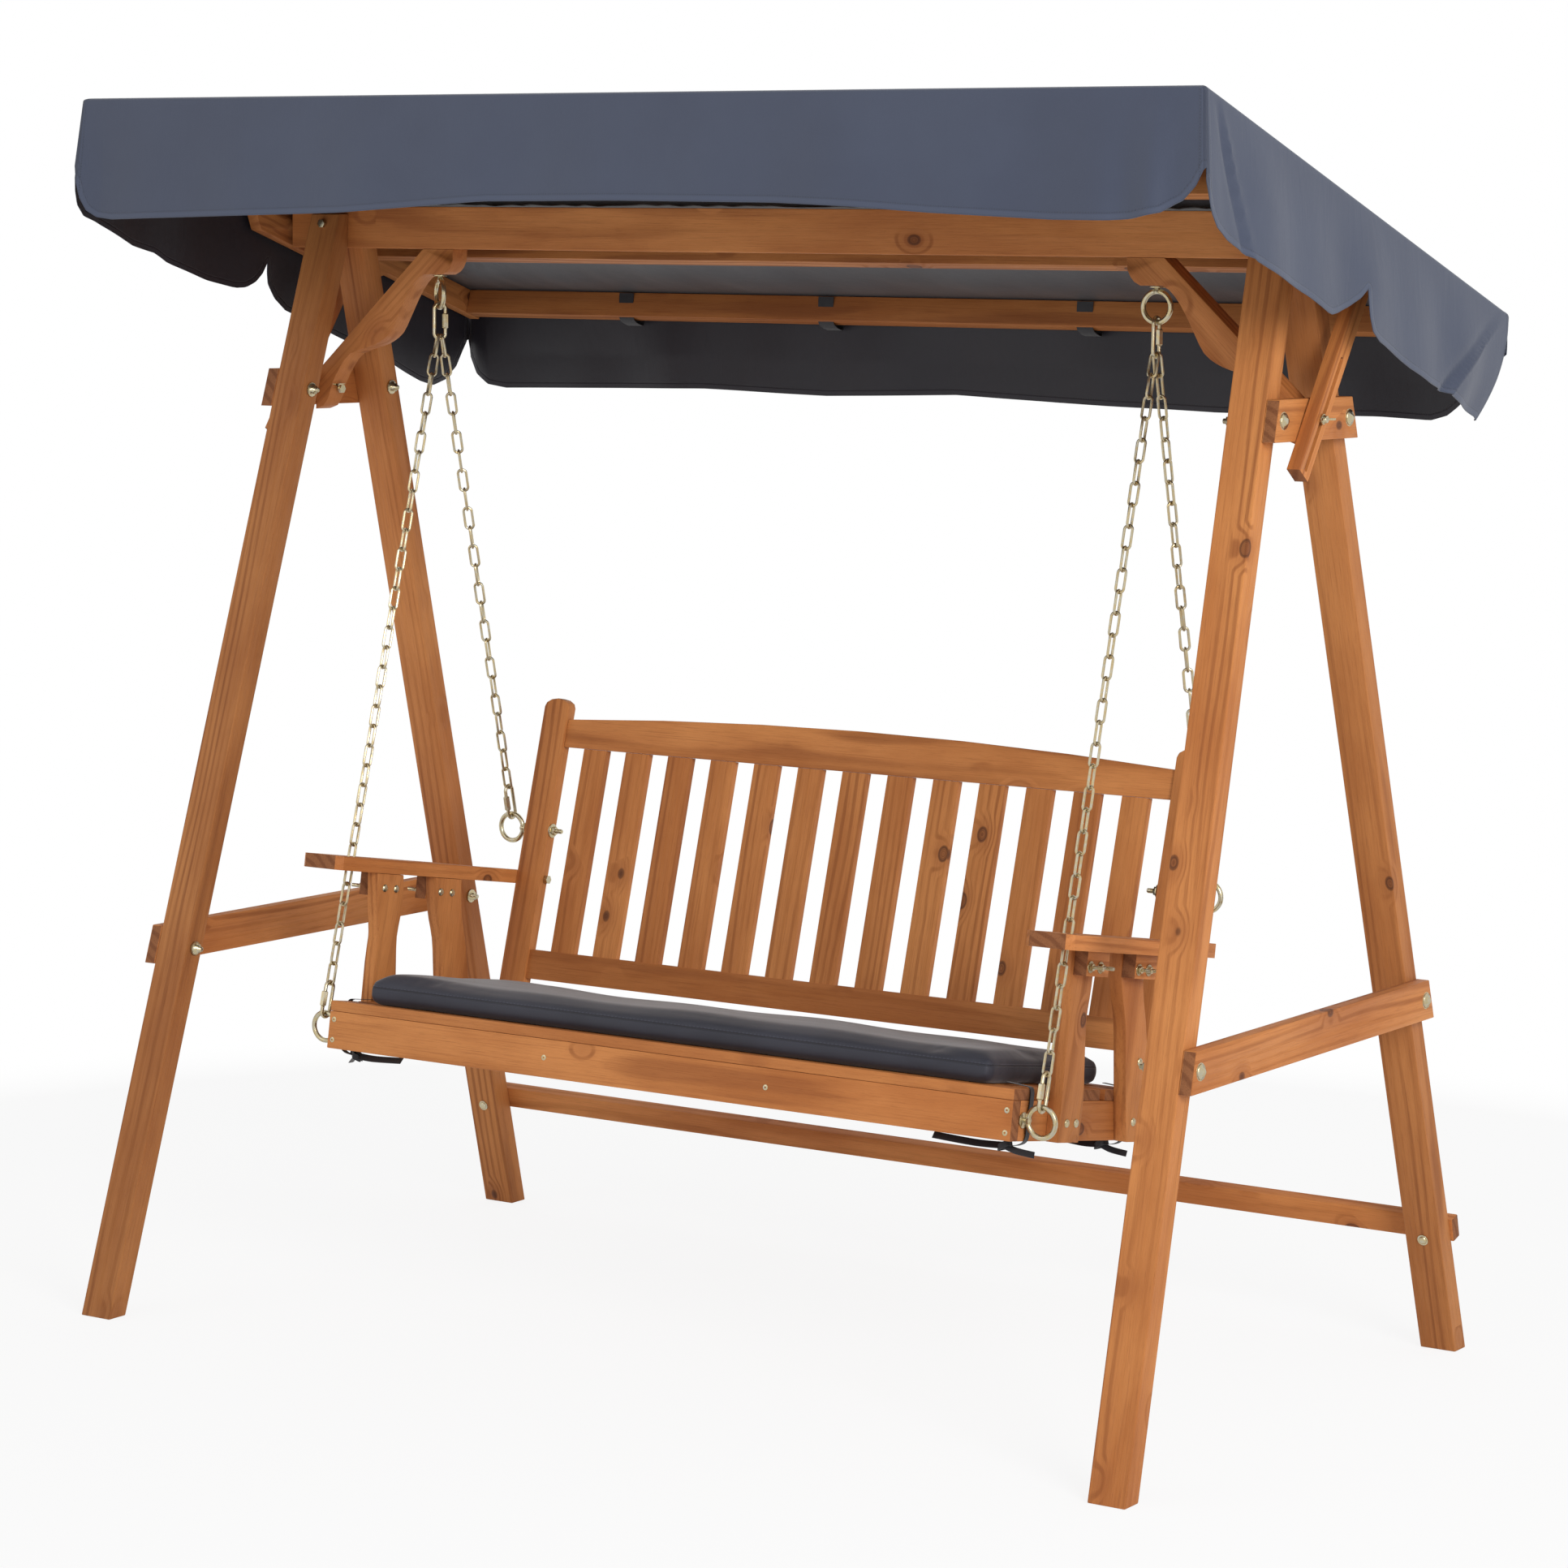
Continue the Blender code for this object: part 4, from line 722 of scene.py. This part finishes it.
def tape(name, paths, look, body, thick=0.0009):
    """Flat tape along paths of points, each path with its width and its width's direction."""
    bm = bmesh.new()
    for points, width, broadside in paths:
        fine = smooth_path(points)
        rows = []
        for i, point in enumerate(fine):
            along = (fine[min(i + 1, len(fine) - 1)] - fine[max(i - 1, 0)]).normalized()
            wide = (broadside - along * along.dot(broadside)).normalized() * width / 2
            rows.append([bm.verts.new(point + wide * k) for k in (-1, -0.33, 0.33, 1)])
        for one, two in zip(rows, rows[1:]):
            for k in range(3):
                bm.faces.new((one[k], one[k + 1], two[k + 1], two[k]))
    bmesh.ops.recalc_face_normals(bm, faces=bm.faces)
    made = made_of(bm, name, look)
    wall = made.modifiers.new("wall", "SOLIDIFY")
    wall.thickness, wall.offset = thick, 0
    bpy.ops.object.modifier_apply(modifier="wall")
    bpy.ops.object.shade_smooth_by_angle(angle=math.radians(50))
    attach(made, body)


tape_cloth = polyester("tie_tape", (0.016, 0.016, 0.02), (0.008, 0.008, 0.011))
ties = []
for word, side in both_ends:
    for corner_u, reach, spread in ((0.040, 0.110, 1.0), (0.335, 0.062, 0.7)):
        # down the side board, round the knot, and the two loose ends: depth, height and side of each point
        for width, broadside, points in (
                (0.011, seat_deep,
                 ((0.012, 0.083, 0.594), (0.012, 0.081, 0.618), (0.010, 0.078, 0.6355), (0.009, 0.060, 0.6385),
                  (0.006, 0.030, 0.6385), (0.004, 0.004, 0.6385), (0.002, -0.006, 0.628), (0, -0.009, 0.606))),
                (0.009, seat_up,
                 ((0, -0.004, 0.618), (-0.002, -0.008, 0.604), (0.006, -0.013, 0.597), (0.010, -0.008, 0.607),
                  (0.001, -0.004, 0.614), (-0.008, -0.009, 0.605), (-0.002, -0.014, 0.596),
                  (0.009, -0.011, 0.603))),
                (0.012, seat_up + seat_deep * 0.8,
                 ((0, -0.009, 0.606), (-0.010, -0.010, 0.606 - reach * 0.4), (-0.022, -0.006, 0.606 - reach))),
                (0.011, seat_up + seat_deep * 0.9,
                 ((0, -0.009, 0.604), (0.014 * spread, -0.016, 0.618), (0.030 * spread, -0.020, 0.640)))):
            ties.append(([seat(corner_u + u, w, side * x) for u, w, x in points], width, broadside))
tape("cushion_ties", ties, tape_cloth, "bench")


# The canopy frame: stained pine rails, two side rails with a belly at the pivot and four cross
# rails between them, painted darker as the cover's shade. It tilts on a bolt at each end of the beam.
roof_slope = 0.31
strut_pin_y, strut_pin_z = 0.135, 1.730


def bolt_in_roof(point):
    off_apex = math.hypot(point.y, point.z - apex_z)
    off_pin = math.hypot(point.y - strut_pin_y, point.z - strut_pin_z)
    return (off_apex < 0.0098 or off_pin < 0.0082) and abs(point.x) < 0.9718


for word, side in both_ends:
    # the tone below one is painted shade from the cover
    timber = pine("pine_roof_side_" + word, (0, 1, -roof_slope), side * 1.3 + 5.0, 0.86)
    from_node("roof_side_rail_" + word, "canopy", 0.0018, timber, bolt_in_roof, bolt_plate,
              "timber_roof_side_" + word)
for k in range(1, 5):
    # the tone below one is painted shade from the cover
    timber = pine("pine_roof_cross_%d" % k, across, 1.37 * k, 0.84)
    from_node("roof_cross_rail_%d" % k, "canopy", 0.0016, timber,
              name="timber_roof_cross_%d" % k)

# The tilt struts: slotted pine that hangs from a pin in each side rail and is clamped by the wing
# nut on the upper plate.
for word, side in both_ends:
    timber = pine("pine_strut_" + word, (0, 0.568, 0.823), side * 2.6, 1.06)
    from_node("tilt_strut_" + word, "strut_" + word, 0.0014, timber,
              name="timber_strut_" + word)


# The canopy cover: one sewn sheet of slate-coloured polyester, dark inside, laid over the rails
# with a valance all round. The valance is slit at the corners and at mid side, and its flaps have
# rounded corners and a rolled, stitched hem.
roof_top, cloth_lift, roll = 1.7985, 0.0030, 0.007
edge_x, front_y, rear_y = 0.9978, -0.4895, 0.5135
middle_y, half_y = (front_y + rear_y) / 2, (rear_y - front_y) / 2
corner_reach = 0.035
# by side, 1 right and -1 left: where the valance is slit at mid side, and how high the slit goes
slit_y, slit_top = {1: -0.005, -1: -0.030}, {1: 1.679, -1: 1.694}


def along_table(table, place):
    """A height at a place, straight between the points of a table."""
    if place <= table[0][0]:
        return table[0][1]
    for (a, p), (b, q) in zip(table, table[1:]):
        if place <= b:
            return p + (q - p) * (place - a) / (b - a)
    return table[-1][1]


def ridge(place, centre, width):
    """A smooth ridge, one high."""
    return math.exp(-((place - centre) / width) ** 2)


def roof_cloth_z(x, y):
    """The laid cloth's height: taut over the rails, slack and wrinkled between them."""
    z = roof_top - roof_slope * y + cloth_lift
    for start, stop, slack in ((-0.455, -0.157, 0.010), (-0.157, 0.180, 0.004), (0.180, 0.496, 0.012)):
        if start + 0.018 < y < stop - 0.018:
            t = (y - start - 0.018) / (stop - start - 0.036)
            inside = max(0.0, 1.0 - max(0.0, abs(x) - 0.90) / 0.066)
            fold = (0.45 * math.sin(x * 31.0 + y * 12.0) + 0.35 * math.sin(x * 13.0 - y * 21.0 + 1.3)
                    + 0.3 * math.sin(x * 53.0 + y * 5.0 + math.sin(y * 9.0) * 2.0))
            z -= inside * math.sin(math.pi * t) * slack * (0.9 + 0.22 * fold)
            z -= inside * math.sin(math.pi * t) ** 0.5 * 0.0008 * math.sin(x * 120.0 + y * 14.0)
    return z


# each flap: where it starts and ends on the rim, its hem's height along it, and its columns. Front
# and rear are measured in half widths from the middle, the sides by their Y.
front_hem = [(-1.0, 1.845), (-0.9985, 1.820), (-0.994, 1.795), (-0.985, 1.775), (-0.970, 1.764),
             (-0.940, 1.761), (-0.465, 1.774), (-0.320, 1.784), (-0.203, 1.792), (0.035, 1.794), (0.318, 1.792),
             (0.450, 1.787), (0.576, 1.779), (0.771, 1.7705), (0.860, 1.770), (0.898, 1.772), (0.947, 1.781),
             (0.975, 1.797), (0.990, 1.817), (1.0, 1.842)]
rear_hem = [(-1.0, 1.560), (-0.997, 1.530), (-0.985, 1.500), (-0.965, 1.482), (-0.93, 1.476), (-0.5, 1.486),
            (-0.25, 1.480), (0.0, 1.488), (0.2, 1.481), (0.5, 1.474), (0.78, 1.476), (0.865, 1.472),
            (0.893, 1.480), (0.918, 1.498), (0.945, 1.522), (0.975, 1.552), (1.0, 1.580)]
right_fore_hem = [(-0.490, 1.842), (-0.489, 1.806), (-0.484, 1.782), (-0.472, 1.762), (-0.447, 1.746),
                  (-0.338, 1.708), (-0.200, 1.669), (-0.140, 1.648), (-0.124, 1.643), (-0.100, 1.645),
                  (-0.060, 1.654), (-0.025, 1.666), (-0.005, 1.679)]
right_aft_hem = [(-0.005, 1.679), (-0.003, 1.660), (0.000, 1.640), (0.008, 1.618), (0.025, 1.604),
                 (0.060, 1.590), (0.135, 1.563), (0.211, 1.540), (0.285, 1.524), (0.340, 1.513),
                 (0.440, 1.494), (0.495, 1.484), (rear_y, 1.478)]
left_fore_hem = [(-0.490, 1.845), (-0.489, 1.808), (-0.484, 1.784), (-0.472, 1.766), (-0.440, 1.752),
                 (-0.356, 1.720), (-0.299, 1.708), (-0.271, 1.692), (-0.180, 1.665), (-0.110, 1.652),
                 (-0.085, 1.653), (-0.062, 1.662), (-0.044, 1.676), (-0.030, 1.694)]
left_aft_hem = [(-0.030, 1.694), (-0.027, 1.678), (-0.020, 1.659), (0.002, 1.634), (0.030, 1.614),
                (0.160, 1.570), (0.297, 1.526), (0.400, 1.488), (0.434, 1.480), (0.470, 1.490), (0.493, 1.512),
                (rear_y, 1.560)]
flaps = (("front", -1, 1, front_hem, 150), ("right_fore", front_y, slit_y[1], right_fore_hem, 60),
         ("right_aft", slit_y[1], rear_y, right_aft_hem, 100), ("rear", 1, -1, rear_hem, 150),
         ("left_aft", rear_y, slit_y[-1], left_aft_hem, 100),
         ("left_fore", slit_y[-1], front_y, left_fore_hem, 60))
corner_columns = {"front": (0, 150), "rear": (0, 150), "right_fore": (0,), "right_aft": (100,),
                  "left_aft": (0,), "left_fore": (60,)}
valance_rows, roll_rows = 24, 4


def rear_corner(side, z, z_top):
    """The corner seam's line: the right one is drawn in and forward where its flap is folded."""
    drop = max(0.0, (z_top - z) / 0.158)
    if side < 0:
        out = 0.003 + 0.010 * min(1.0, drop)
        return Vector((-edge_x - out, rear_y + out, z))
    return Vector((edge_x + 0.004 - 0.018 * drop ** 2, rear_y + 0.003 - 0.078 * drop ** 2, z))


def corner_point(near, t, hem_z):
    """A point of the corner's line, which both its flaps share."""
    side = math.copysign(1, near.x)
    z_top = roof_cloth_z(side * edge_x, front_y if near.y < 0 else rear_y) - roll
    z = z_top + (hem_z - z_top) * t
    if near.y > 0:
        return rear_corner(side, z, z_top)
    out = 0.003 + 0.010 * t
    return Vector((side * (edge_x + out), front_y - out, z))


def end_flap_point(name, place, t, hem):
    """A point of the front or rear valance: t goes from the rolled edge down to the hem."""
    way, edge_y = (-1, front_y) if name == "front" else (1, rear_y)
    top = roof_cloth_z(place * edge_x, edge_y) - roll
    z = top + (along_table(hem, place) - top) * t
    near_corner = max(0.0, 1.0 - (1.0 - abs(place)) / corner_reach)
    wave = (0.0045 * math.sin(place * 7.3 + way) + 0.0028 * math.sin(place * 15.0 + 0.7)
            + 0.0022 * math.sin(place * 29.0 + 2.1)) * min(1.0, t * 1.6)
    if name == "front":
        # drawn folds run down from the right corner
        wave += 0.010 * t * ridge(place, 0.93, 0.022) - 0.006 * t * ridge(place, 0.88, 0.02)
    else:
        wave *= 1.8
    out = 0.004 + 0.012 * t + wave * (1 - near_corner)
    past_end = math.copysign(near_corner * (0.001 + 0.010 * t), place)
    point = Vector((place * edge_x + past_end, edge_y + way * out, z))
    if name == "rear" and place > 0.9:
        seam = rear_corner(1, z, top)
        pull = ((place - 0.9) / 0.1) ** 2
        point.y += (seam.y - point.y) * pull
        point.x += (seam.x - edge_x * 1.004) * pull
    return point


def side_flap_point(name, y, t, hem):
    """A point of a side valance: t goes from the rolled edge down to the hem."""
    side = 1 if name.startswith("right") else -1
    aft = name.endswith("aft")
    top = roof_cloth_z(side * edge_x, y) - roll
    z = top + (along_table(hem, y) - top) * t
    near_front = max(0.0, 1.0 - (y - front_y) / corner_reach)
    near_rear = max(0.0, 1.0 - (rear_y - y) / corner_reach)
    at_slit = max(0.0, slit_top[side] - z) * ridge(y, slit_y[side], 0.035)
    drop = (top - z) / 0.155
    wave = (0.0036 * math.sin(y * 17.0 + 0.4) + 0.0022 * math.sin(y * 37.0 + 1.0)) * min(1.0, drop * 1.6)
    lean = 0.0
    if side > 0:
        # a crease pressed by folding, from the front corner down to the hem
        crease = y + 0.452 - 0.075 * t
        wave += min(1.0, t * 3) * (0.0045 * ridge(crease, 0, 0.0045) - 0.0050 * ridge(crease, -0.014, 0.010))
    if side > 0 and aft:
        # the rear corner is folded in along a line from the roof's corner to the hem
        fold = y - (0.505 - 0.215 * t)
        wave += t * (0.007 * ridge(fold, 0, 0.006) - 0.010 * ridge(fold, -0.020, 0.014))
        seam = rear_corner(1, z, top)
        share = min(1.0, max(0.0, fold) / (0.0085 + 0.215 * t))
        wave -= (edge_x + 0.004 + 0.013 * drop - seam.x) * share
        lean = (seam.y - rear_y) * share - 0.30 * at_slit
    wave += at_slit * (0.10 if aft else -0.06)
    out = 0.004 + 0.013 * drop + wave * (1 - near_front)
    near_corner = near_front if side > 0 and aft else max(near_front, near_rear)
    past_end = math.copysign(near_corner * (0.001 + 0.010 * t), y)
    return Vector((side * (edge_x + out), y + lean + past_end, z))


def rim_places(count):
    """Places along a side from 0 to 1, closer together near its ends."""
    return [k / count - 0.14 * math.sin(math.tau * k / count) for k in range(count + 1)]


bm = bmesh.new()
hem_layer = bm.loops.layers.uv.new("hem")
seam_layer = bm.loops.layers.uv.new("seam")
marks = {}


def cloth_vertex(point, from_hem=1.0, from_seam=1.0):
    vert = bm.verts.new(point)
    marks[vert] = (from_hem, from_seam)
    return vert


def stitch_rows(rows):
    """Faces between rows of vertices."""
    for one, two in zip(rows, rows[1:]):
        for j in range(len(one) - 1):
            bm.faces.new((one[j], one[j + 1], two[j + 1], two[j]))


rim = {}
for name, start, stop, hem, count in flaps:
    at_end = name in ("front", "rear")
    flap_point = end_flap_point if at_end else side_flap_point
    places = [start + (stop - start) * share for share in rim_places(count)]
    hem_line = [flap_point(name, place, 1.0, hem) for place in places]
    rim[name] = []
    for i, place in enumerate(places):
        if at_end:
            inner = Vector((place * (edge_x - roll), front_y + roll if name == "front" else rear_y - roll, 0))
            from_seam = min(abs(place - start), abs(place - stop))
        else:
            inner = Vector(((edge_x - roll) * (1 if name.startswith("right") else -1),
                            middle_y + (place - middle_y) * (1 - roll / half_y), 0))
            from_seam = abs(place - (front_y if name.endswith("fore") else rear_y))
        # the laid top ends a roll's radius inside the rim, all round
        inner.z = roof_cloth_z(inner.x, inner.y)
        shares = [row / valance_rows for row in range(valance_rows + 1)]
        hanging = [flap_point(name, place, t, hem) for t in shares]
        if i in corner_columns[name]:
            hanging = [corner_point(hanging[0], t, hem_line[i].z) for t in shares]
        top = hanging[0]
        column = []
        for k in range(roll_rows):
            angle = math.pi / 2 * k / roll_rows
            point = inner.lerp(top, math.sin(angle))
            point.z = top.z + (inner.z - top.z) * math.cos(angle)
            column.append(cloth_vertex(point, 1.0, from_seam))
        for point in hanging:
            from_hem = min((point - other).length for other in hem_line[max(0, i - 14):i + 15])
            column.append(cloth_vertex(point, from_hem, from_seam))
        rim[name].append(column)
    stitch_rows(rim[name])
# the laid top: a grid whose border is the rim, and whose rows run from the left side to the right
right_side = [column[0].co for column in rim["right_fore"] + rim["right_aft"][1:]]
left_side = [column[0].co for column in rim["left_aft"] + rim["left_fore"][1:]][::-1]
front_side, rear_side = ([column[0].co for column in rim[name]] for name in ("front", "rear"))
grid = [[cloth_vertex(point) for point in front_side]]
for left, right in list(zip(left_side, right_side))[1:-1]:
    row = [cloth_vertex(left)]
    for x in [point.x for point in front_side[1:-1]]:
        y = left.y + (right.y - left.y) * (x - left.x) / (right.x - left.x)
        row.append(cloth_vertex((x, y, roof_cloth_z(x, y))))
    grid.append(row + [cloth_vertex(right)])
grid.append([cloth_vertex(point) for point in rear_side[::-1]])
stitch_rows(grid)
for face in bm.faces:
    for loop in face.loops:
        from_hem, from_seam = marks[loop.vert]
        loop[hem_layer].uv = (loop.vert.co.x + loop.vert.co.y, from_hem)
        loop[seam_layer].uv = (from_seam, loop.vert.co.z)
bmesh.ops.remove_doubles(bm, verts=bm.verts, dist=0.0004)
bmesh.ops.recalc_face_normals(bm, faces=bm.faces)
if sum(face.normal.z * face.calc_area() for face in bm.faces) < 0:
    bmesh.ops.reverse_faces(bm, faces=bm.faces)


def cover_look(name, tone, deep, rough):
    """Polyester with a rolled, stitched hem and stitched corner seams, from the sheet's own maps, with painted
    shade along the seams and the hem's edge and a painted highlight on the rolled hem.
    """
    made, shader, at = new_material(name)
    hem_map, seam_map = (Wire(at.tree, at.node("ShaderNodeUVMap", {"uv_map": layer}).outputs[0])
                         for layer in ("hem", "seam"))
    run, from_hem = hem_map.dot((1, 0, 0)), hem_map.dot((0, 1, 0))
    from_seam, high = seam_map.dot((1, 0, 0)), seam_map.dot((0, 1, 0))
    warp = (run * 4200.0).maths("SINE")
    weft = (at.dot((0, 0.35, 0.94)) * 4200.0).maths("SINE")
    cloud = at.noise(3.2, 5.0, 0.62)
    speck = at.noise(620.0, 2.0, 0.75)
    crease = (at.dot(across) * 16.0).join(at.dot((0, 1, 0)) * 16.0, at.dot(up) * 5.0).noise(1.0, 5.0, 0.6, 0.5)
    hem_roll_and_painted_highlight = 1.0 - from_hem.step(0.0075, 0.0090)
    hem_edge_painted_shade = 1.0 - from_hem.step(0.0010, 0.0030)
    hem_stitch = from_hem.line(0.0100, 0.0003, 0.0009) * (run * 1500.0).maths("SINE").step(-0.1, 0.4)
    seam_dent_and_painted_shade = 1.0 - (from_seam - 0.0005).step(0.0008, 0.0022)
    seam_stitch = from_seam.line(0.0055, 0.0003, 0.0010) * (high * 1500.0).maths("SINE").step(-0.1, 0.4)
    seam_band = 1.0 - from_seam.step(0.0060, 0.0080)
    body = (cloud.step(0.25, 0.78) * 0.75 + speck.step(0.3, 0.7) * 0.25).blend(deep, tone)
    # painted highlight: the rolled hem's band is raised and also painted lighter, as light on the roll
    body = (hem_roll_and_painted_highlight * 0.35).blend(body, [v * 1.25 for v in tone])
    # painted shade: darker along the corner seams' folds and along the hem's very edge
    body = (seam_dent_and_painted_shade.maths("MAXIMUM", hem_edge_painted_shade * 0.6) * 0.5).blend(body, [v * 0.45 for v in deep])
    body = (hem_stitch.maths("MAXIMUM", seam_stitch) * 0.5).blend(body, [v * 0.4 for v in deep])
    feed(shader, "Base Color", body)
    feed(shader, "Roughness", cloud * 0.12 + speck * 0.1 + rough)
    constants(shader, {"Specular IOR Level": 0.4, "Sheen Weight": 0.15, "Sheen Roughness": 0.45})
    raised = warp * weft * 0.04 + speck * 0.10 + crease * 1.3 + hem_roll_and_painted_highlight * 0.5 + seam_band * 0.35
    bump(shader, raised - hem_stitch * 0.5 - seam_stitch * 0.5 - seam_dent_and_painted_shade * 0.6, 0.0012, 0.75)
    return made


cover = made_of(bm, "canopy_cover_sheet",
                cover_look("cover_outside", (0.050, 0.062, 0.100), (0.036, 0.045, 0.077), 0.46),
                cover_look("cover_inside", (0.0115, 0.0095, 0.0165), (0.0075, 0.006, 0.011), 0.34))
wall = cover.modifiers.new("wall", "SOLIDIFY")
wall.thickness, wall.offset, wall.material_offset = 0.0012, -1, 1
bpy.ops.object.modifier_apply(modifier="wall")
bpy.ops.object.shade_smooth_by_angle(angle=math.radians(60))
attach(cover, "canopy")
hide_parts("canopy_cover")

# The rail tapes: three black polyester tapes, sewn inside the cover and looped round the rear
# cross rail.
rail_y = 0.496
rail_z = roof_top - roof_slope * rail_y
loops = []
for x in (-0.630, -0.220, 0.278):
    around = []
    for y, z in ((0.5115, -0.0065), (0.514, -0.020), (0.511, -0.047), (0.499, -0.0505), (0.480, -0.0448),
                 (0.4775, -0.022), (0.4785, 0.002)):
        tilted = 0.6 if z < -0.03 else 0.2
        around.append(Vector((x, y, rail_z + z - roof_slope * (y - rail_y) * tilted)))
    loops.append((around, 0.030, across))
tape("rail_tapes", loops, tape_cloth, "canopy", 0.001)
